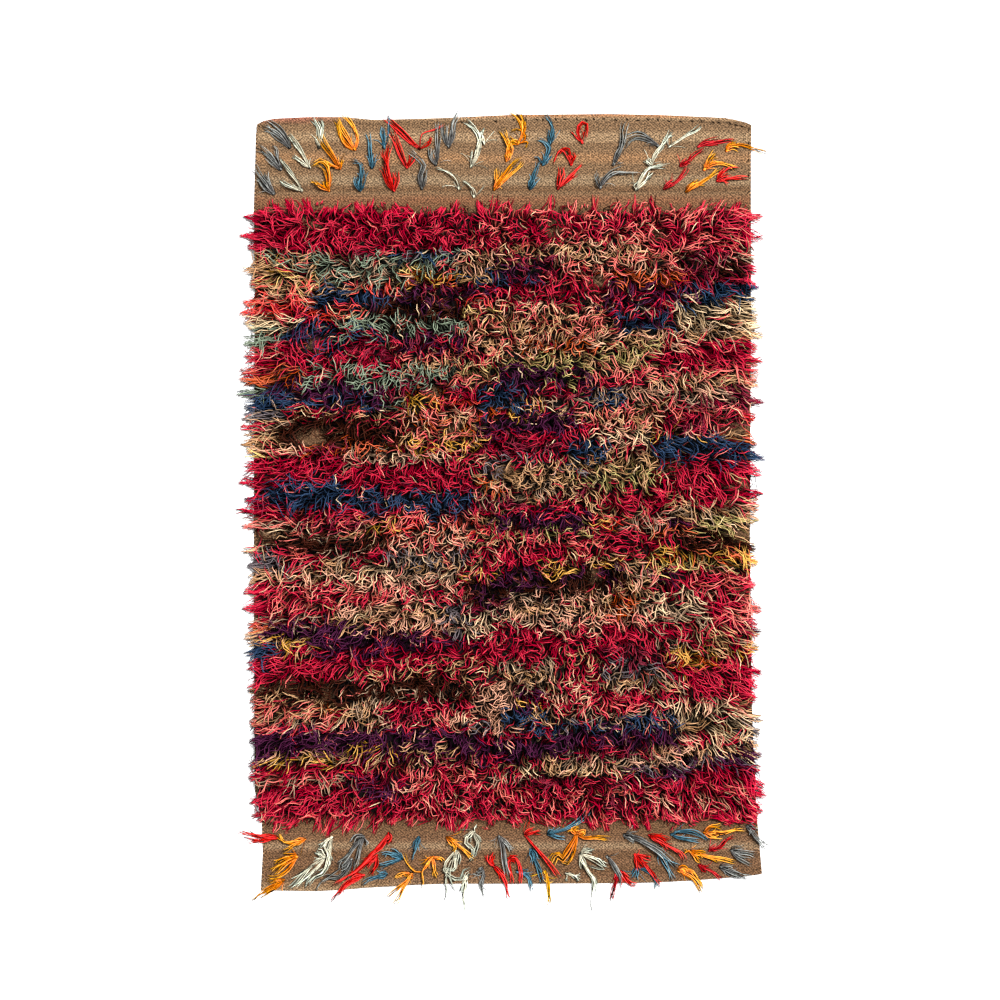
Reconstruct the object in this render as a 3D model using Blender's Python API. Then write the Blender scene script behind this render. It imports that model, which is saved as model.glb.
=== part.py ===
"""A shaggy hand-woven rug on a flat kilim ground, lying flat with its pile up.

The rug lies in the XY plane: its width runs along X, its length along Y, and its underside is at Z = 0.
Three kinds of piece make it: the woven ground, the long-pile shag knotted into its middle, and six rows
of wool tufts knotted into its two flat end bands. Each row of tufts stands on its own narrow tie.

Places along the rug are read off the photograph in its 1000-pixel frame, and the width of the ground
turns those pixels into metres.
"""

from collections import namedtuple

import bmesh
import bpy
from mathutils import Vector, noise

# Driving dimensions, in metres
GROUND_WIDTH = 1.0
GROUND_THICKNESS = 0.0025
HEM_THICKNESS = 0.0038
CLEARANCE = 0.0003
PILE_CREST = 0.021
PILE_VALLEY = 0.009
PILE_RIM = 0.008
BARE_PATCH = 0.0045
KNOT_ROWS = 33

# The photograph's frame, in its pixels
PHOTO_CENTRE_X = 506
PHOTO_CENTRE_Y = 502
PHOTO_GROUND_WIDTH = 495
PIXEL = GROUND_WIDTH / PHOTO_GROUND_WIDTH
FIRST_KNOT_ROW_Y = 214
KNOT_ROW_PITCH = 18.8

# The ground's four edges: along runs with the edge, across is where the edge lies there
EdgePoint = namedtuple("EdgePoint", "along across")
LEFT_EDGE = tuple(
    EdgePoint(*point)
    for point in (
        (124, 258), (160, 256), (209, 254), (300, 255), (560, 254), (790, 255),
        (822, 262), (853, 263), (889, 261),
    )
)
RIGHT_EDGE = tuple(
    EdgePoint(*point)
    for point in (
        (125, 751), (160, 750), (209, 750), (300, 751), (537, 750), (705, 752),
        (790, 755), (816, 757), (850, 760), (872, 762),
    )
)
TOP_EDGE = tuple(
    EdgePoint(*point)
    for point in (
        (258, 124), (268, 119), (310, 117), (382, 120), (444, 118), (509, 116),
        (607, 114), (661, 116), (727, 118), (744, 122), (751, 125),
    )
)
BOTTOM_EDGE = tuple(
    EdgePoint(*point)
    for point in ((261, 889), (340, 889), (420, 886), (510, 883), (600, 882), (680, 880), (762, 872))
)
HEM_DEPTH = 5
HEM_STEP = 1.5
GROUND_COLUMNS = 12
GROUND_ROWS = 16

# The pile's slab, in pixels where it lies and in metres where it stands
PILE_COLUMNS = 34
PILE_SIDE_INSET = 3
PILE_TOP_Y = 211
PILE_BOTTOM_Y = 820
PILE_LUMP_SPREAD = 4.0
PILE_LUMP_HEIGHT = 0.014
LUMP_SIZE = 13
LUMP_LAYER_STEP = 7.3
CREST_SHIFT = 2
RIM_WANDER = 2.0
LINES = 2 * KNOT_ROWS

# Places where the ground shows through the pile
BarePatch = namedtuple("BarePatch", "x y half_width half_height")
BARE_PATCHES = tuple(
    BarePatch(*patch)
    for patch in (
        (312, 437, 17, 10), (735, 431, 17, 10), (738, 486, 14, 9), (264, 535, 12, 9),
        (740, 536, 14, 9), (310, 222, 10, 9), (655, 238, 10, 9), (555, 228, 9, 9),
        (314, 345, 10, 9), (435, 393, 9, 9), (283, 375, 9, 9), (597, 284, 10, 9),
        (730, 315, 10, 9), (455, 430, 9, 9), (592, 575, 10, 9), (738, 590, 9, 9),
        (285, 683, 9, 9), (325, 696, 10, 9), (505, 470, 9, 9), (672, 468, 9, 9),
    )
)

# Locks at the pile's rim: along runs with the side, reach is how far past the ground's edge they go
SideLock = namedtuple("SideLock", "along reach lean")
LEFT_LOCKS = tuple(
    SideLock(*lock)
    for lock in (
        (219, 11, -3), (234, 15, 2), (247, 8, 2), (270, 14, 2), (284, 6, 2), (301, 12, 3),
        (313, 15, 2), (325, 11, 3), (341, 14, 2), (355, 11, 1), (368, 16, 1), (381, 15, 2),
        (393, 17, 0), (405, 13, 1), (417, 12, 0), (428, 13, 1), (442, 14, 0), (455, 10, 1),
        (467, 13, 0), (482, 15, 1), (500, 10, 0), (513, 19, 0), (526, 12, -1), (552, 12, 0),
        (566, 8, 1), (579, 6, 0), (593, 11, 0), (608, 12, 1), (625, 7, 0), (638, 11, 0),
        (651, 12, 1), (665, 10, 0), (688, 8, 1), (722, 6, 0), (740, 6, 2), (763, 7, 1),
        (778, 7, 0), (802, 8, 1), (816, 10, 4),
    )
)
RIGHT_LOCKS = tuple(
    SideLock(*lock)
    for lock in (
        (219, 13, -2), (237, 14, 1), (271, 6, 0), (286, 8, 1), (299, 6, 0), (314, 8, 1),
        (326, 10, 1), (337, 13, -1), (348, 8, 0), (361, 13, 1), (373, 9, 0), (385, 9, 1),
        (402, 13, 0), (418, 6, 0), (447, 7, 0), (459, 14, 1), (472, 13, 0), (496, 13, 1),
        (508, 11, 0), (520, 9, 1), (550, 7, 0), (562, 9, 1), (585, 6, 0), (609, 11, 0),
        (622, 7, 1), (634, 11, 0), (649, 8, 1), (674, 10, 0), (686, 8, 1), (698, 6, 0),
        (720, 10, 1), (731, 8, 2), (744, 7, 1), (756, 9, 2), (770, 7, 2), (783, 12, 2),
        (795, 12, 4), (808, 8, 5),
    )
)
EndLock = namedtuple("EndLock", "x tip_y lean")
TOP_LOCKS = tuple(
    EndLock(*lock)
    for lock in (
        (263, 207, -3), (276, 204, -3), (288, 200, -4), (305, 199, -3), (327, 207, 3),
        (340, 202, 2), (358, 202, -3), (372, 200, 2), (394, 203, -3), (408, 205, -3),
        (443, 208, 3), (458, 202, 2), (480, 201, -2), (496, 197, 3), (510, 200, 2),
        (527, 203, 3), (550, 197, 2), (573, 197, 2), (595, 197, 2), (618, 196, 2),
        (636, 197, 1), (652, 197, -1), (688, 204, 3), (705, 202, 4), (723, 204, 4), (740, 204, 4),
    )
)
BOTTOM_LOCKS = tuple(
    EndLock(*lock)
    for lock in (
        (275, 830, -4), (290, 828, -4), (316, 831, -2), (328, 831, -2), (343, 831, -3),
        (356, 831, -3), (373, 830, -3), (392, 826, -3), (411, 827, -3), (438, 830, -3),
        (452, 831, 2), (465, 831, -2), (492, 825, -1), (517, 828, 2), (532, 824, 2),
        (546, 827, 3), (594, 830, 2), (606, 830, 2), (635, 829, 3), (650, 829, 3),
        (679, 824, 3), (692, 823, 3), (724, 823, 4), (735, 821, 4),
    )
)
LOCK_OVERLAP = 9
SIDE_LOCK_HALF_WIDTH = 0.0100
END_LOCK_HALF_WIDTH = 0.0100
LOCK_TIP_HALF_WIDTH = 0.0012
BRINK_WIDTH_SHARE = 0.8
LANDING_WIDTH_SHARE = 0.6
LANDING_SHARE = 0.5
LOCK_DROP = 0.010
BRINK = 2.5
SIDE_LOCK_HEIGHT = GROUND_THICKNESS + 0.0011
END_LOCK_HEIGHT = GROUND_THICKNESS + 0.0006

# Tufts in the end bands: a knot, then the path of each free strand from the knot to its tip
Tuft = namedtuple("Tuft", "x y strands")
TOP_OUTER = (
    Tuft(290, 148, (((283, 133), (269, 123)), ((276, 135), (261, 125)))),
    Tuft(319, 148, (((318, 135), (311, 117)), ((322, 130), (319, 118)))),
    Tuft(355, 150, (((346, 135), (336, 117)), ((354, 134), (342, 112)))),
    Tuft(384, 148, (((381, 125),), ((388, 125),))),
    Tuft(420, 149, (((400, 131), (382, 115)), ((431, 140), (436, 129)))),
    Tuft(449, 147, (((446, 122),), ((454, 122), (461, 108)))),
    Tuft(484, 144, (((481, 131),),)),
    Tuft(519, 143, (((523, 127), (518, 112)), ((511, 128), (507, 112)))),
    Tuft(550, 144, (((553, 129), (543, 114)),)),
    Tuft(581, 143, (((587, 126),), ((570, 131),))),
    Tuft(659, 146, (((643, 134), (625, 138)),)),
    Tuft(669, 147, (((687, 134), (703, 125)),)),
    Tuft(698, 147, (((711, 142), (737, 141)),)),
    Tuft(726, 151, (((739, 147), (773, 153)),)),
)
TOP_MIDDLE = (
    Tuft(281, 170, (((268, 156), (256, 144)), ((275, 147),))),
    Tuft(310, 168, (((300, 149), (287, 134)), ((294, 154),))),
    Tuft(340, 169, (((327, 150), (317, 131)), ((325, 159),))),
    Tuft(372, 168, (((371, 152), (366, 130)),)),
    Tuft(407, 168, (((399, 147), (391, 127)), ((414, 156),))),
    Tuft(436, 165, (((438, 145), (438, 122)), ((430, 146),))),
    Tuft(471, 167, (((479, 148), (476, 128), (462, 119)),)),
    Tuft(506, 161, (((509, 144), (500, 128)),)),
    Tuft(543, 165, (((549, 152), (538, 140)), ((536, 157),))),
    Tuft(571, 165, (((568, 152), (555, 160)),)),
    Tuft(613, 165, (((623, 143), (626, 120)),)),
    Tuft(651, 165, (((661, 149), (673, 131)),)),
    Tuft(680, 166, (((691, 160), (707, 148)),)),
    Tuft(704, 170, (((716, 154),), ((717, 164), (738, 168)))),
    Tuft(717, 181, (((750, 178),), ((728, 174), (745, 172)))),
)
TOP_INNER = (
    Tuft(274, 194, (((262, 178), (253, 166)), ((268, 173),))),
    Tuft(302, 191, (((293, 171), (279, 156)), ((281, 181),))),
    Tuft(329, 191, (((327, 166), (311, 166)), ((310, 180),))),
    Tuft(360, 191, (((362, 167), (350, 161)), ((355, 179),))),
    Tuft(394, 191, (((385, 167), (388, 144)), ((397, 173),))),
    Tuft(422, 189, (((422, 170), (405, 149)),)),
    Tuft(459, 189, (((450, 174), (434, 167)),)),
    Tuft(474, 197, (((472, 189), (461, 180)),)),
    Tuft(494, 190, (((507, 172), (522, 157)), ((496, 168),))),
    Tuft(530, 189, (((536, 171), (540, 160)),)),
    Tuft(558, 189, (((561, 166),), ((582, 165),))),
    Tuft(600, 188, (((610, 176), (641, 174)),)),
    Tuft(636, 190, (((646, 172), (666, 167)), ((655, 177),))),
    Tuft(664, 189, (((679, 178), (687, 168)),)),
    Tuft(686, 192, (((704, 180), (720, 171)),)),
)
BOTTOM_INNER = (
    Tuft(278, 838, (((257, 835), (235, 832)), ((257, 842), (245, 843)))),
    Tuft(305, 839, (((292, 843), (281, 851)), ((283, 840),))),
    Tuft(332, 837, (((325, 846), (330, 861), (316, 873), (308, 889)), ((318, 848),))),
    Tuft(364, 837, (((349, 854), (334, 865)), ((359, 848), (356, 858)))),
    Tuft(389, 836, (((372, 850), (354, 870), (327, 887)),)),
    Tuft(419, 837, (((411, 862),),)),
    Tuft(447, 837, (((461, 843), (477, 863)), ((449, 853),))),
    Tuft(475, 836, (((474, 849), (480, 857)), ((486, 843),))),
    Tuft(499, 836, (((504, 854), (509, 880)), ((515, 850),))),
    Tuft(525, 835, (((542, 832),), ((540, 852), (562, 878)))),
    Tuft(548, 834, (((570, 829),), ((566, 838),))),
    Tuft(577, 834, (((592, 837), (611, 840)), ((574, 853), (566, 864)))),
    Tuft(624, 835, (((645, 842), (669, 864)),)),
    Tuft(649, 835, (((667, 844), (684, 862)), ((671, 838),))),
    Tuft(671, 834, (((697, 832), (706, 838)),)),
    Tuft(704, 832, (((726, 833), (746, 831)), ((720, 827),))),
    Tuft(747, 826, (((755, 835), (768, 850)),)),
)
BOTTOM_MIDDLE = (
    Tuft(297, 857, (((286, 861), (272, 865)), ((283, 873), (266, 877)))),
    Tuft(325, 857, (((311, 870), (283, 891)), ((311, 849),))),
    Tuft(352, 859, (((347, 870), (327, 877), (315, 893)),)),
    Tuft(377, 855, (((365, 865), (349, 875)), ((374, 865), (366, 878)))),
    Tuft(403, 858, (((392, 853), (381, 855)), ((391, 862), (378, 866)))),
    Tuft(433, 857, (((424, 865), (423, 886)), ((437, 868), (435, 878)))),
    Tuft(457, 852, (((455, 867), (447, 880)), ((464, 868), (473, 866)))),
    Tuft(490, 861, (((500, 872), (510, 899)), ((495, 852),))),
    Tuft(514, 856, (((510, 871), (514, 887)), ((521, 868), (519, 882)))),
    Tuft(531, 849, (((535, 859), (544, 886)),)),
    Tuft(580, 854, (((585, 864), (593, 880), (593, 914)), ((590, 850), (607, 865)))),
    Tuft(607, 856, (((616, 866), (624, 891)),)),
    Tuft(635, 854, (((645, 866), (663, 888)), ((652, 859),), ((637, 872),))),
    Tuft(659, 852, (((667, 860), (681, 868)), ((664, 862), (673, 884)))),
    Tuft(692, 852, (((709, 858), (737, 862)),)),
    Tuft(709, 850, (((726, 842), (735, 837)),)),
    Tuft(731, 850, (((745, 853), (757, 856)), ((755, 864),))),
)
BOTTOM_OUTER = (
    Tuft(284, 880, (((271, 887), (251, 902)),)),
    Tuft(364, 875, (((352, 879), (341, 890), (329, 905)),)),
    Tuft(387, 874, (((373, 878), (361, 887)),)),
    Tuft(412, 873, (((396, 880),), ((402, 884), (384, 900)), ((408, 884), (393, 907)))),
    Tuft(469, 874, (((465, 881), (463, 900)),)),
    Tuft(482, 870, (((481, 885), (486, 899)),)),
    Tuft(517, 871, (((527, 874), (532, 892)),)),
    Tuft(545, 871, (((549, 887), (549, 907)), ((532, 875),))),
    Tuft(566, 873, (((580, 884),),)),
    Tuft(616, 876, (((615, 888), (611, 903)),)),
    Tuft(636, 869, (((632, 878),), ((651, 873), (656, 891)))),
    Tuft(678, 870, (((693, 876), (707, 891)),)),
    Tuft(699, 865, (((710, 870), (723, 880)),)),
    Tuft(720, 867, (((735, 872), (749, 878)),)),
)
TuftRow = namedtuple("TuftRow", "name tufts height")
TUFT_ROWS = (
    TuftRow("tufts_top_outer", TOP_OUTER, 0.0046),
    TuftRow("tufts_top_middle", TOP_MIDDLE, 0.0085),
    TuftRow("tufts_top_inner", TOP_INNER, 0.0126),
    TuftRow("tufts_bottom_inner", BOTTOM_INNER, 0.0126),
    TuftRow("tufts_bottom_middle", BOTTOM_MIDDLE, 0.0085),
    TuftRow("tufts_bottom_outer", BOTTOM_OUTER, 0.0036),
)
TIE_HALF_WIDTH = 0.0016
TIE_END = 0.004
TIE_HEIGHT = GROUND_THICKNESS + CLEARANCE
STRAND_ROOT_HEIGHT = TIE_HEIGHT + 0.0003
STRAND_ROOT_HALF_WIDTH = 0.0021
STRAND_BELLY_HALF_WIDTH = 0.0031
STRAND_TIP_HALF_WIDTH = 0.0009
STRAND_RISE = 0.013
MOST_RISE_SHARE = 0.6
STRAND_BELLY_SHARE = 0.35
EDGE_MARGIN = 0.002
DROP_SLOPE = 1.5
SHORTEST_DROP = 0.008
PATH_STEP = 0.001
CLOSE_STATIONS = 0.004

# The section of a lock or strand: a flat base and a ridge, for a half width of one
SECTION = ((-1.0, 0.0), (1.0, 0.0), (0.0, 1.0))

Station = namedtuple("Station", "point half_width")


def across_at(edge, along):
    """Where an edge lies at a place along it, in pixels."""
    before = edge[0]
    for after in edge[1:]:
        if along <= after.along:
            share = (along - before.along) / (after.along - before.along)
            return before.across + max(0.0, share) * (after.across - before.across)
        before = after
    return before.across


def on_rug(x, y, height=0.0):
    """A place in the photograph as a point above the rug's floor, in metres."""
    return Vector(((x - PHOTO_CENTRE_X) * PIXEL, (PHOTO_CENTRE_Y - y) * PIXEL, height))


def room_inside(point):
    """How far a point is inside the ground's outline, in metres, and negative outside it."""
    x = point.x / PIXEL + PHOTO_CENTRE_X
    y = PHOTO_CENTRE_Y - point.y / PIXEL
    return PIXEL * min(
        x - across_at(LEFT_EDGE, y),
        across_at(RIGHT_EDGE, y) - x,
        y - across_at(TOP_EDGE, x),
        across_at(BOTTOM_EDGE, x) - y,
    )


def make_material(name, colour, roughness):
    material = bpy.data.materials.new(name)
    material.use_nodes = True
    material.diffuse_color = (*colour, 1.0)
    shader = material.node_tree.nodes["Principled BSDF"]
    shader.inputs["Base Color"].default_value = (*colour, 1.0)
    shader.inputs["Roughness"].default_value = roughness
    shader.inputs["Metallic"].default_value = 0.0
    return material


def link(obj, collection, parent):
    collection.objects.link(obj)
    obj.parent = parent
    return obj


def hide_helper(obj):
    obj.hide_render = True
    obj.display_type = "WIRE"


def grid_slab(name, columns, rows, top_point, underside):
    """A sheet with a shaped top over a flat underside. top_point gives the top's point at a column and row."""
    mesh = bpy.data.meshes.new(name)
    bm = bmesh.new()
    bmesh.ops.create_grid(bm, x_segments=columns, y_segments=rows, size=0.5)
    extruded = bmesh.ops.extrude_face_region(bm, geom=bm.faces[:], use_keep_orig=True)
    top = {item for item in extruded["geom"] if isinstance(item, bmesh.types.BMVert)}
    for vert in bm.verts:
        column = round((vert.co.x + 0.5) * columns)
        row = round((vert.co.y + 0.5) * rows)
        vert.co = top_point(column, row)
        if vert not in top:
            vert.co.z = underside
    under_faces = [face for face in bm.faces if top.isdisjoint(face.verts)]
    bmesh.ops.dissolve_faces(bm, faces=under_faces)
    bmesh.ops.recalc_face_normals(bm, faces=bm.faces[:])
    bm.to_mesh(mesh)
    bm.free()
    return bpy.data.objects.new(name, mesh)


def loft_locks(name, paths):
    """Closed three-sided bodies, one along each path of stations, as one mesh object."""
    section = bpy.data.curves.new(name + "_section", "CURVE")
    outline = section.splines.new("POLY")
    outline.points.add(len(SECTION) - 1)
    for point, (x, y) in zip(outline.points, SECTION):
        point.co = (x, y, 0.0, 1.0)
    outline.use_cyclic_u = True
    section_object = bpy.data.objects.new(section.name, section)

    curve = bpy.data.curves.new(name + "_paths", "CURVE")
    curve.dimensions = "3D"
    curve.twist_mode = "Z_UP"
    curve.bevel_mode = "OBJECT"
    curve.bevel_object = section_object
    curve.use_fill_caps = True
    for path in paths:
        spline = curve.splines.new("POLY")
        spline.points.add(len(path) - 1)
        for point, station in zip(spline.points, path):
            point.co = (*station.point, 1.0)
            point.radius = station.half_width
    curve_object = bpy.data.objects.new(curve.name, curve)
    for helper in (section_object, curve_object):
        bpy.context.scene.collection.objects.link(helper)
    graph = bpy.context.evaluated_depsgraph_get()
    mesh = bpy.data.meshes.new_from_object(curve_object.evaluated_get(graph))
    bpy.data.objects.remove(curve_object)
    bpy.data.objects.remove(section_object)

    bm = bmesh.new()
    bm.from_mesh(mesh)
    bmesh.ops.remove_doubles(bm, verts=bm.verts[:], dist=1e-6)
    bmesh.ops.recalc_face_normals(bm, faces=bm.faces[:])
    bm.to_mesh(mesh)
    bm.free()
    return bpy.data.objects.new(name, mesh)


def union(body, addition, solver):
    """Joins two closed meshes. Only the exact solver also joins strands that cross within one mesh."""
    modifier = body.modifiers.new("Fused roots", "BOOLEAN")
    modifier.operation = "UNION"
    modifier.solver = solver
    modifier.use_self = solver == "EXACT"
    modifier.object = addition
    hide_helper(addition)


def ground_point(column, row):
    """The woven ground's top, with the thicker hem folded along its upper edge."""
    rough_x = TOP_EDGE[0].along + (TOP_EDGE[-1].along - TOP_EDGE[0].along) * column / GROUND_COLUMNS
    top = across_at(TOP_EDGE, rough_x)
    bottom = across_at(BOTTOM_EDGE, rough_x)
    hem_row = GROUND_ROWS - 1
    if row >= hem_row:
        y = top + HEM_DEPTH * (GROUND_ROWS - row)
        height = HEM_THICKNESS
    else:
        below_hem = top + HEM_DEPTH + HEM_STEP
        y = bottom + (below_hem - bottom) * row / (hem_row - 1)
        height = GROUND_THICKNESS
    left = across_at(LEFT_EDGE, y)
    right = across_at(RIGHT_EDGE, y)
    return on_rug(left + (right - left) * column / GROUND_COLUMNS, y, height)


def lumpy(x, y, layer):
    """Smooth noise from -1 to 1 over the rug, another one on each layer."""
    return noise.noise(Vector((x / LUMP_SIZE, y / LUMP_SIZE, LUMP_LAYER_STEP * layer)))


def is_bare(x, y):
    return any(
        ((x - patch.x) / patch.half_width) ** 2 + ((y - patch.y) / patch.half_height) ** 2 < 1.0
        for patch in BARE_PATCHES
    )


def pile_line_y(line):
    """Where a line across the pile lies: the rims are the first and last, and odd lines are crests."""
    if line == 0:
        return PILE_TOP_Y
    if line == LINES:
        return PILE_BOTTOM_Y
    is_crest = line % 2 == 1
    return FIRST_KNOT_ROW_Y + KNOT_ROW_PITCH * (line - 1) / 2 + (CREST_SHIFT if is_crest else 0)


def pile_point(column, row):
    """The pile's lumpy top: a crest for each row of knots, a valley between, and dips to the ground."""
    line = LINES - row
    y = pile_line_y(line)
    on_rim = line in (0, LINES) or column in (0, PILE_COLUMNS)
    left = across_at(LEFT_EDGE, y) + PILE_SIDE_INSET
    right = across_at(RIGHT_EDGE, y) - PILE_SIDE_INSET
    x = left + (right - left) * column / PILE_COLUMNS
    if on_rim:
        wander = RIM_WANDER * lumpy(x, y, 4)
        if line == 0:
            y += wander
        elif line == LINES:
            y -= wander
        elif column == 0:
            x += abs(wander)
        else:
            x -= abs(wander)
        return on_rug(x, y, PILE_RIM)
    x += PILE_LUMP_SPREAD * lumpy(x, y, 2)
    y += PILE_LUMP_SPREAD * lumpy(x, y, 3)
    if is_bare(x, y):
        return on_rug(x, y, BARE_PATCH)
    height = PILE_CREST if line % 2 else PILE_VALLEY
    return on_rug(x, y, max(BARE_PATCH, height + PILE_LUMP_HEIGHT * lumpy(x, y, 1)))


def side_lock_path(edge, lock, outward):
    """A lock that leaves the pile over the ground's side edge and comes down to rest on the floor."""
    edge_x = across_at(edge, lock.along)
    drop = outward * LOCK_DROP / PIXEL
    root = on_rug(edge_x - outward * LOCK_OVERLAP, lock.along - lock.lean, SIDE_LOCK_HEIGHT)
    brink = on_rug(edge_x + outward * BRINK, lock.along, SIDE_LOCK_HEIGHT)
    landing_x = edge_x + outward * BRINK + LANDING_SHARE * drop
    landing = on_rug(landing_x, lock.along + lock.lean * LANDING_SHARE)
    tip = on_rug(edge_x + outward * lock.reach, lock.along + lock.lean)
    return (
        Station(root, SIDE_LOCK_HALF_WIDTH),
        Station(brink, BRINK_WIDTH_SHARE * SIDE_LOCK_HALF_WIDTH),
        Station(landing, LANDING_WIDTH_SHARE * SIDE_LOCK_HALF_WIDTH),
        Station(tip, LOCK_TIP_HALF_WIDTH),
    )


def end_lock_path(rim_y, lock):
    """A lock that fans out of the pile's upper or lower rim over the flat end band."""
    inward = LOCK_OVERLAP if lock.tip_y < rim_y else -LOCK_OVERLAP
    return (
        Station(on_rug(lock.x, rim_y + inward, END_LOCK_HEIGHT), END_LOCK_HALF_WIDTH),
        Station(on_rug(lock.x, rim_y, END_LOCK_HEIGHT), BRINK_WIDTH_SHARE * END_LOCK_HALF_WIDTH),
        Station(on_rug(lock.x + lock.lean, lock.tip_y, END_LOCK_HEIGHT), LOCK_TIP_HALF_WIDTH),
    )


def walk(points):
    """Places every millimetre or so along straight runs through the points, with the length so far."""
    places = [(0.0, points[0])]
    done = 0.0
    for before, after in zip(points, points[1:]):
        length = (after - before).length
        steps = max(1, round(length / PATH_STEP))
        for step in range(1, steps + 1):
            places.append((done + length * step / steps, before.lerp(after, step / steps)))
        done += length
    return places


def strand_path(tuft, strand, height):
    """A strand's stations: up from its knot, level over the band, and down to the floor past the edge."""
    points = [on_rug(tuft.x, tuft.y)] + [on_rug(x, y) for x, y in strand]
    places = walk(points)
    length = places[-1][0]
    drop = max(SHORTEST_DROP, DROP_SLOPE * height)
    drops = room_inside(places[-1][1]) < -EDGE_MARGIN - drop
    brink = next((s for s, place in places if room_inside(place) < -EDGE_MARGIN), length)
    landing = next((s for s, place in places if room_inside(place) < -EDGE_MARGIN - drop), length)
    rise = min(STRAND_RISE, MOST_RISE_SHARE * length, MOST_RISE_SHARE * brink)
    wanted = [0.0, rise, length]
    runs = [(after - before).length for before, after in zip(points, points[1:])]
    wanted += [sum(runs[:index]) for index in range(1, len(runs))]
    if drops:
        wanted += [brink, landing]
    kept = []
    for s in sorted(wanted):
        if kept and s - kept[-1] < CLOSE_STATIONS and s != length:
            continue
        kept.append(s)
    stations = []
    for s in kept:
        place = min(places, key=lambda entry: abs(entry[0] - s))[1]
        if s == 0.0:
            level = STRAND_ROOT_HEIGHT
        elif drops and s >= landing:
            level = 0.0
        else:
            level = height
        stations.append(Station(Vector((place.x, place.y, level)), strand_half_width(s / length)))
    return tuple(stations)


def strand_half_width(share):
    if share < STRAND_BELLY_SHARE:
        part = share / STRAND_BELLY_SHARE
        return STRAND_ROOT_HALF_WIDTH + part * (STRAND_BELLY_HALF_WIDTH - STRAND_ROOT_HALF_WIDTH)
    part = (share - STRAND_BELLY_SHARE) / (1.0 - STRAND_BELLY_SHARE)
    return STRAND_BELLY_HALF_WIDTH + part * (STRAND_TIP_HALF_WIDTH - STRAND_BELLY_HALF_WIDTH)


def build_ground(collection, parent):
    ground = grid_slab("ground", GROUND_COLUMNS, GROUND_ROWS, ground_point, 0.0)
    ground.data.materials.append(make_material("woven_ground", (0.30, 0.18, 0.11), 0.9))
    link(ground, collection, parent)


def build_pile(collection, helpers, parent):
    pile = grid_slab("pile", PILE_COLUMNS, LINES, pile_point, GROUND_THICKNESS + CLEARANCE)
    pile.data.materials.append(make_material("shag_wool", (0.42, 0.05, 0.08), 0.85))
    paths = [side_lock_path(LEFT_EDGE, lock, -1) for lock in LEFT_LOCKS]
    paths += [side_lock_path(RIGHT_EDGE, lock, 1) for lock in RIGHT_LOCKS]
    paths += [end_lock_path(PILE_TOP_Y, lock) for lock in TOP_LOCKS]
    paths += [end_lock_path(PILE_BOTTOM_Y, lock) for lock in BOTTOM_LOCKS]
    locks = loft_locks("pile_locks", paths)
    link(pile, collection, parent)
    link(locks, helpers, parent)
    union(pile, locks, "MANIFOLD")


def build_tuft_row(row, material, collection, helpers, parent):
    paths = [strand_path(tuft, strand, row.height) for tuft in row.tufts for strand in tuft.strands]
    strands = loft_locks(row.name, paths)
    strands.data.materials.append(material)
    knots = [on_rug(tuft.x, tuft.y, TIE_HEIGHT) for tuft in row.tufts]
    ends = (knots[0] - Vector((TIE_END, 0.0, 0.0)), knots[-1] + Vector((TIE_END, 0.0, 0.0)))
    tie_stations = [Station(point, TIE_HALF_WIDTH) for point in (ends[0], *knots, ends[1])]
    tie = loft_locks(row.name + "_tie", [tie_stations])
    link(strands, collection, parent)
    link(tie, helpers, parent)
    union(strands, tie, "EXACT")


def centre_on_floor(empty, collection):
    """Moves everything so that the middle of the rug's box is over the origin."""
    bpy.context.view_layer.update()
    graph = bpy.context.evaluated_depsgraph_get()
    points = []
    for obj in collection.objects:
        if obj.type != "MESH":
            continue
        evaluated = obj.evaluated_get(graph)
        points += [evaluated.matrix_world @ vert.co for vert in evaluated.to_mesh().vertices]
        evaluated.to_mesh_clear()
    for axis in (0, 1):
        values = [point[axis] for point in points]
        empty.location[axis] = -(min(values) + max(values)) / 2
    bpy.context.view_layer.update()


def main():
    for obj in list(bpy.data.objects):
        bpy.data.objects.remove(obj)
    rug = bpy.data.collections.new("kilim_rug")
    helpers = bpy.data.collections.new("helpers")
    bpy.context.scene.collection.children.link(rug)
    bpy.context.scene.collection.children.link(helpers)
    empty = bpy.data.objects.new("rug_frame", None)
    rug.objects.link(empty)

    build_ground(rug, empty)
    build_pile(rug, helpers, empty)
    tuft_wool = make_material("tuft_wool", (0.75, 0.32, 0.06), 0.8)
    for row in TUFT_ROWS:
        build_tuft_row(row, tuft_wool, rug, helpers, empty)
    centre_on_floor(empty, rug)


main()
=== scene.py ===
import math
from collections import namedtuple

import bpy
import numpy as np
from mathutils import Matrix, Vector, noise


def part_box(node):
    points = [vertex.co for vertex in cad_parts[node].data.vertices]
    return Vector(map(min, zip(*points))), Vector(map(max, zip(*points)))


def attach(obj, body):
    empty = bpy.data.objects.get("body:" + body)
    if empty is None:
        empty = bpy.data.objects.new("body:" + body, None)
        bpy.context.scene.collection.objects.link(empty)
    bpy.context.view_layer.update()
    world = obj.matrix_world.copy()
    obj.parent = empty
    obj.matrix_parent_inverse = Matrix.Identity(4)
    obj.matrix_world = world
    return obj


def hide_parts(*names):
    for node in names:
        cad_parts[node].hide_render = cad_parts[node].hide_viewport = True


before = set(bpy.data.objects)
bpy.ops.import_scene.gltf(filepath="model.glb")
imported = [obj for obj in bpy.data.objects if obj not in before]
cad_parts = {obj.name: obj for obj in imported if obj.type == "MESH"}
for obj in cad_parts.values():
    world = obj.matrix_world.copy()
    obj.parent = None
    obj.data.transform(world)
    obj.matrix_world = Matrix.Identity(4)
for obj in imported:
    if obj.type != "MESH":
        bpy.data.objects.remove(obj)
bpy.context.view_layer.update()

# The looks of a shaggy hand-woven rug: its woven ground, its long-pile shag and the wool tufts on its
# two flat end bands. Places are written as the photograph's pixels, in its 1000-pixel frame.
SEED = 71

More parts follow.
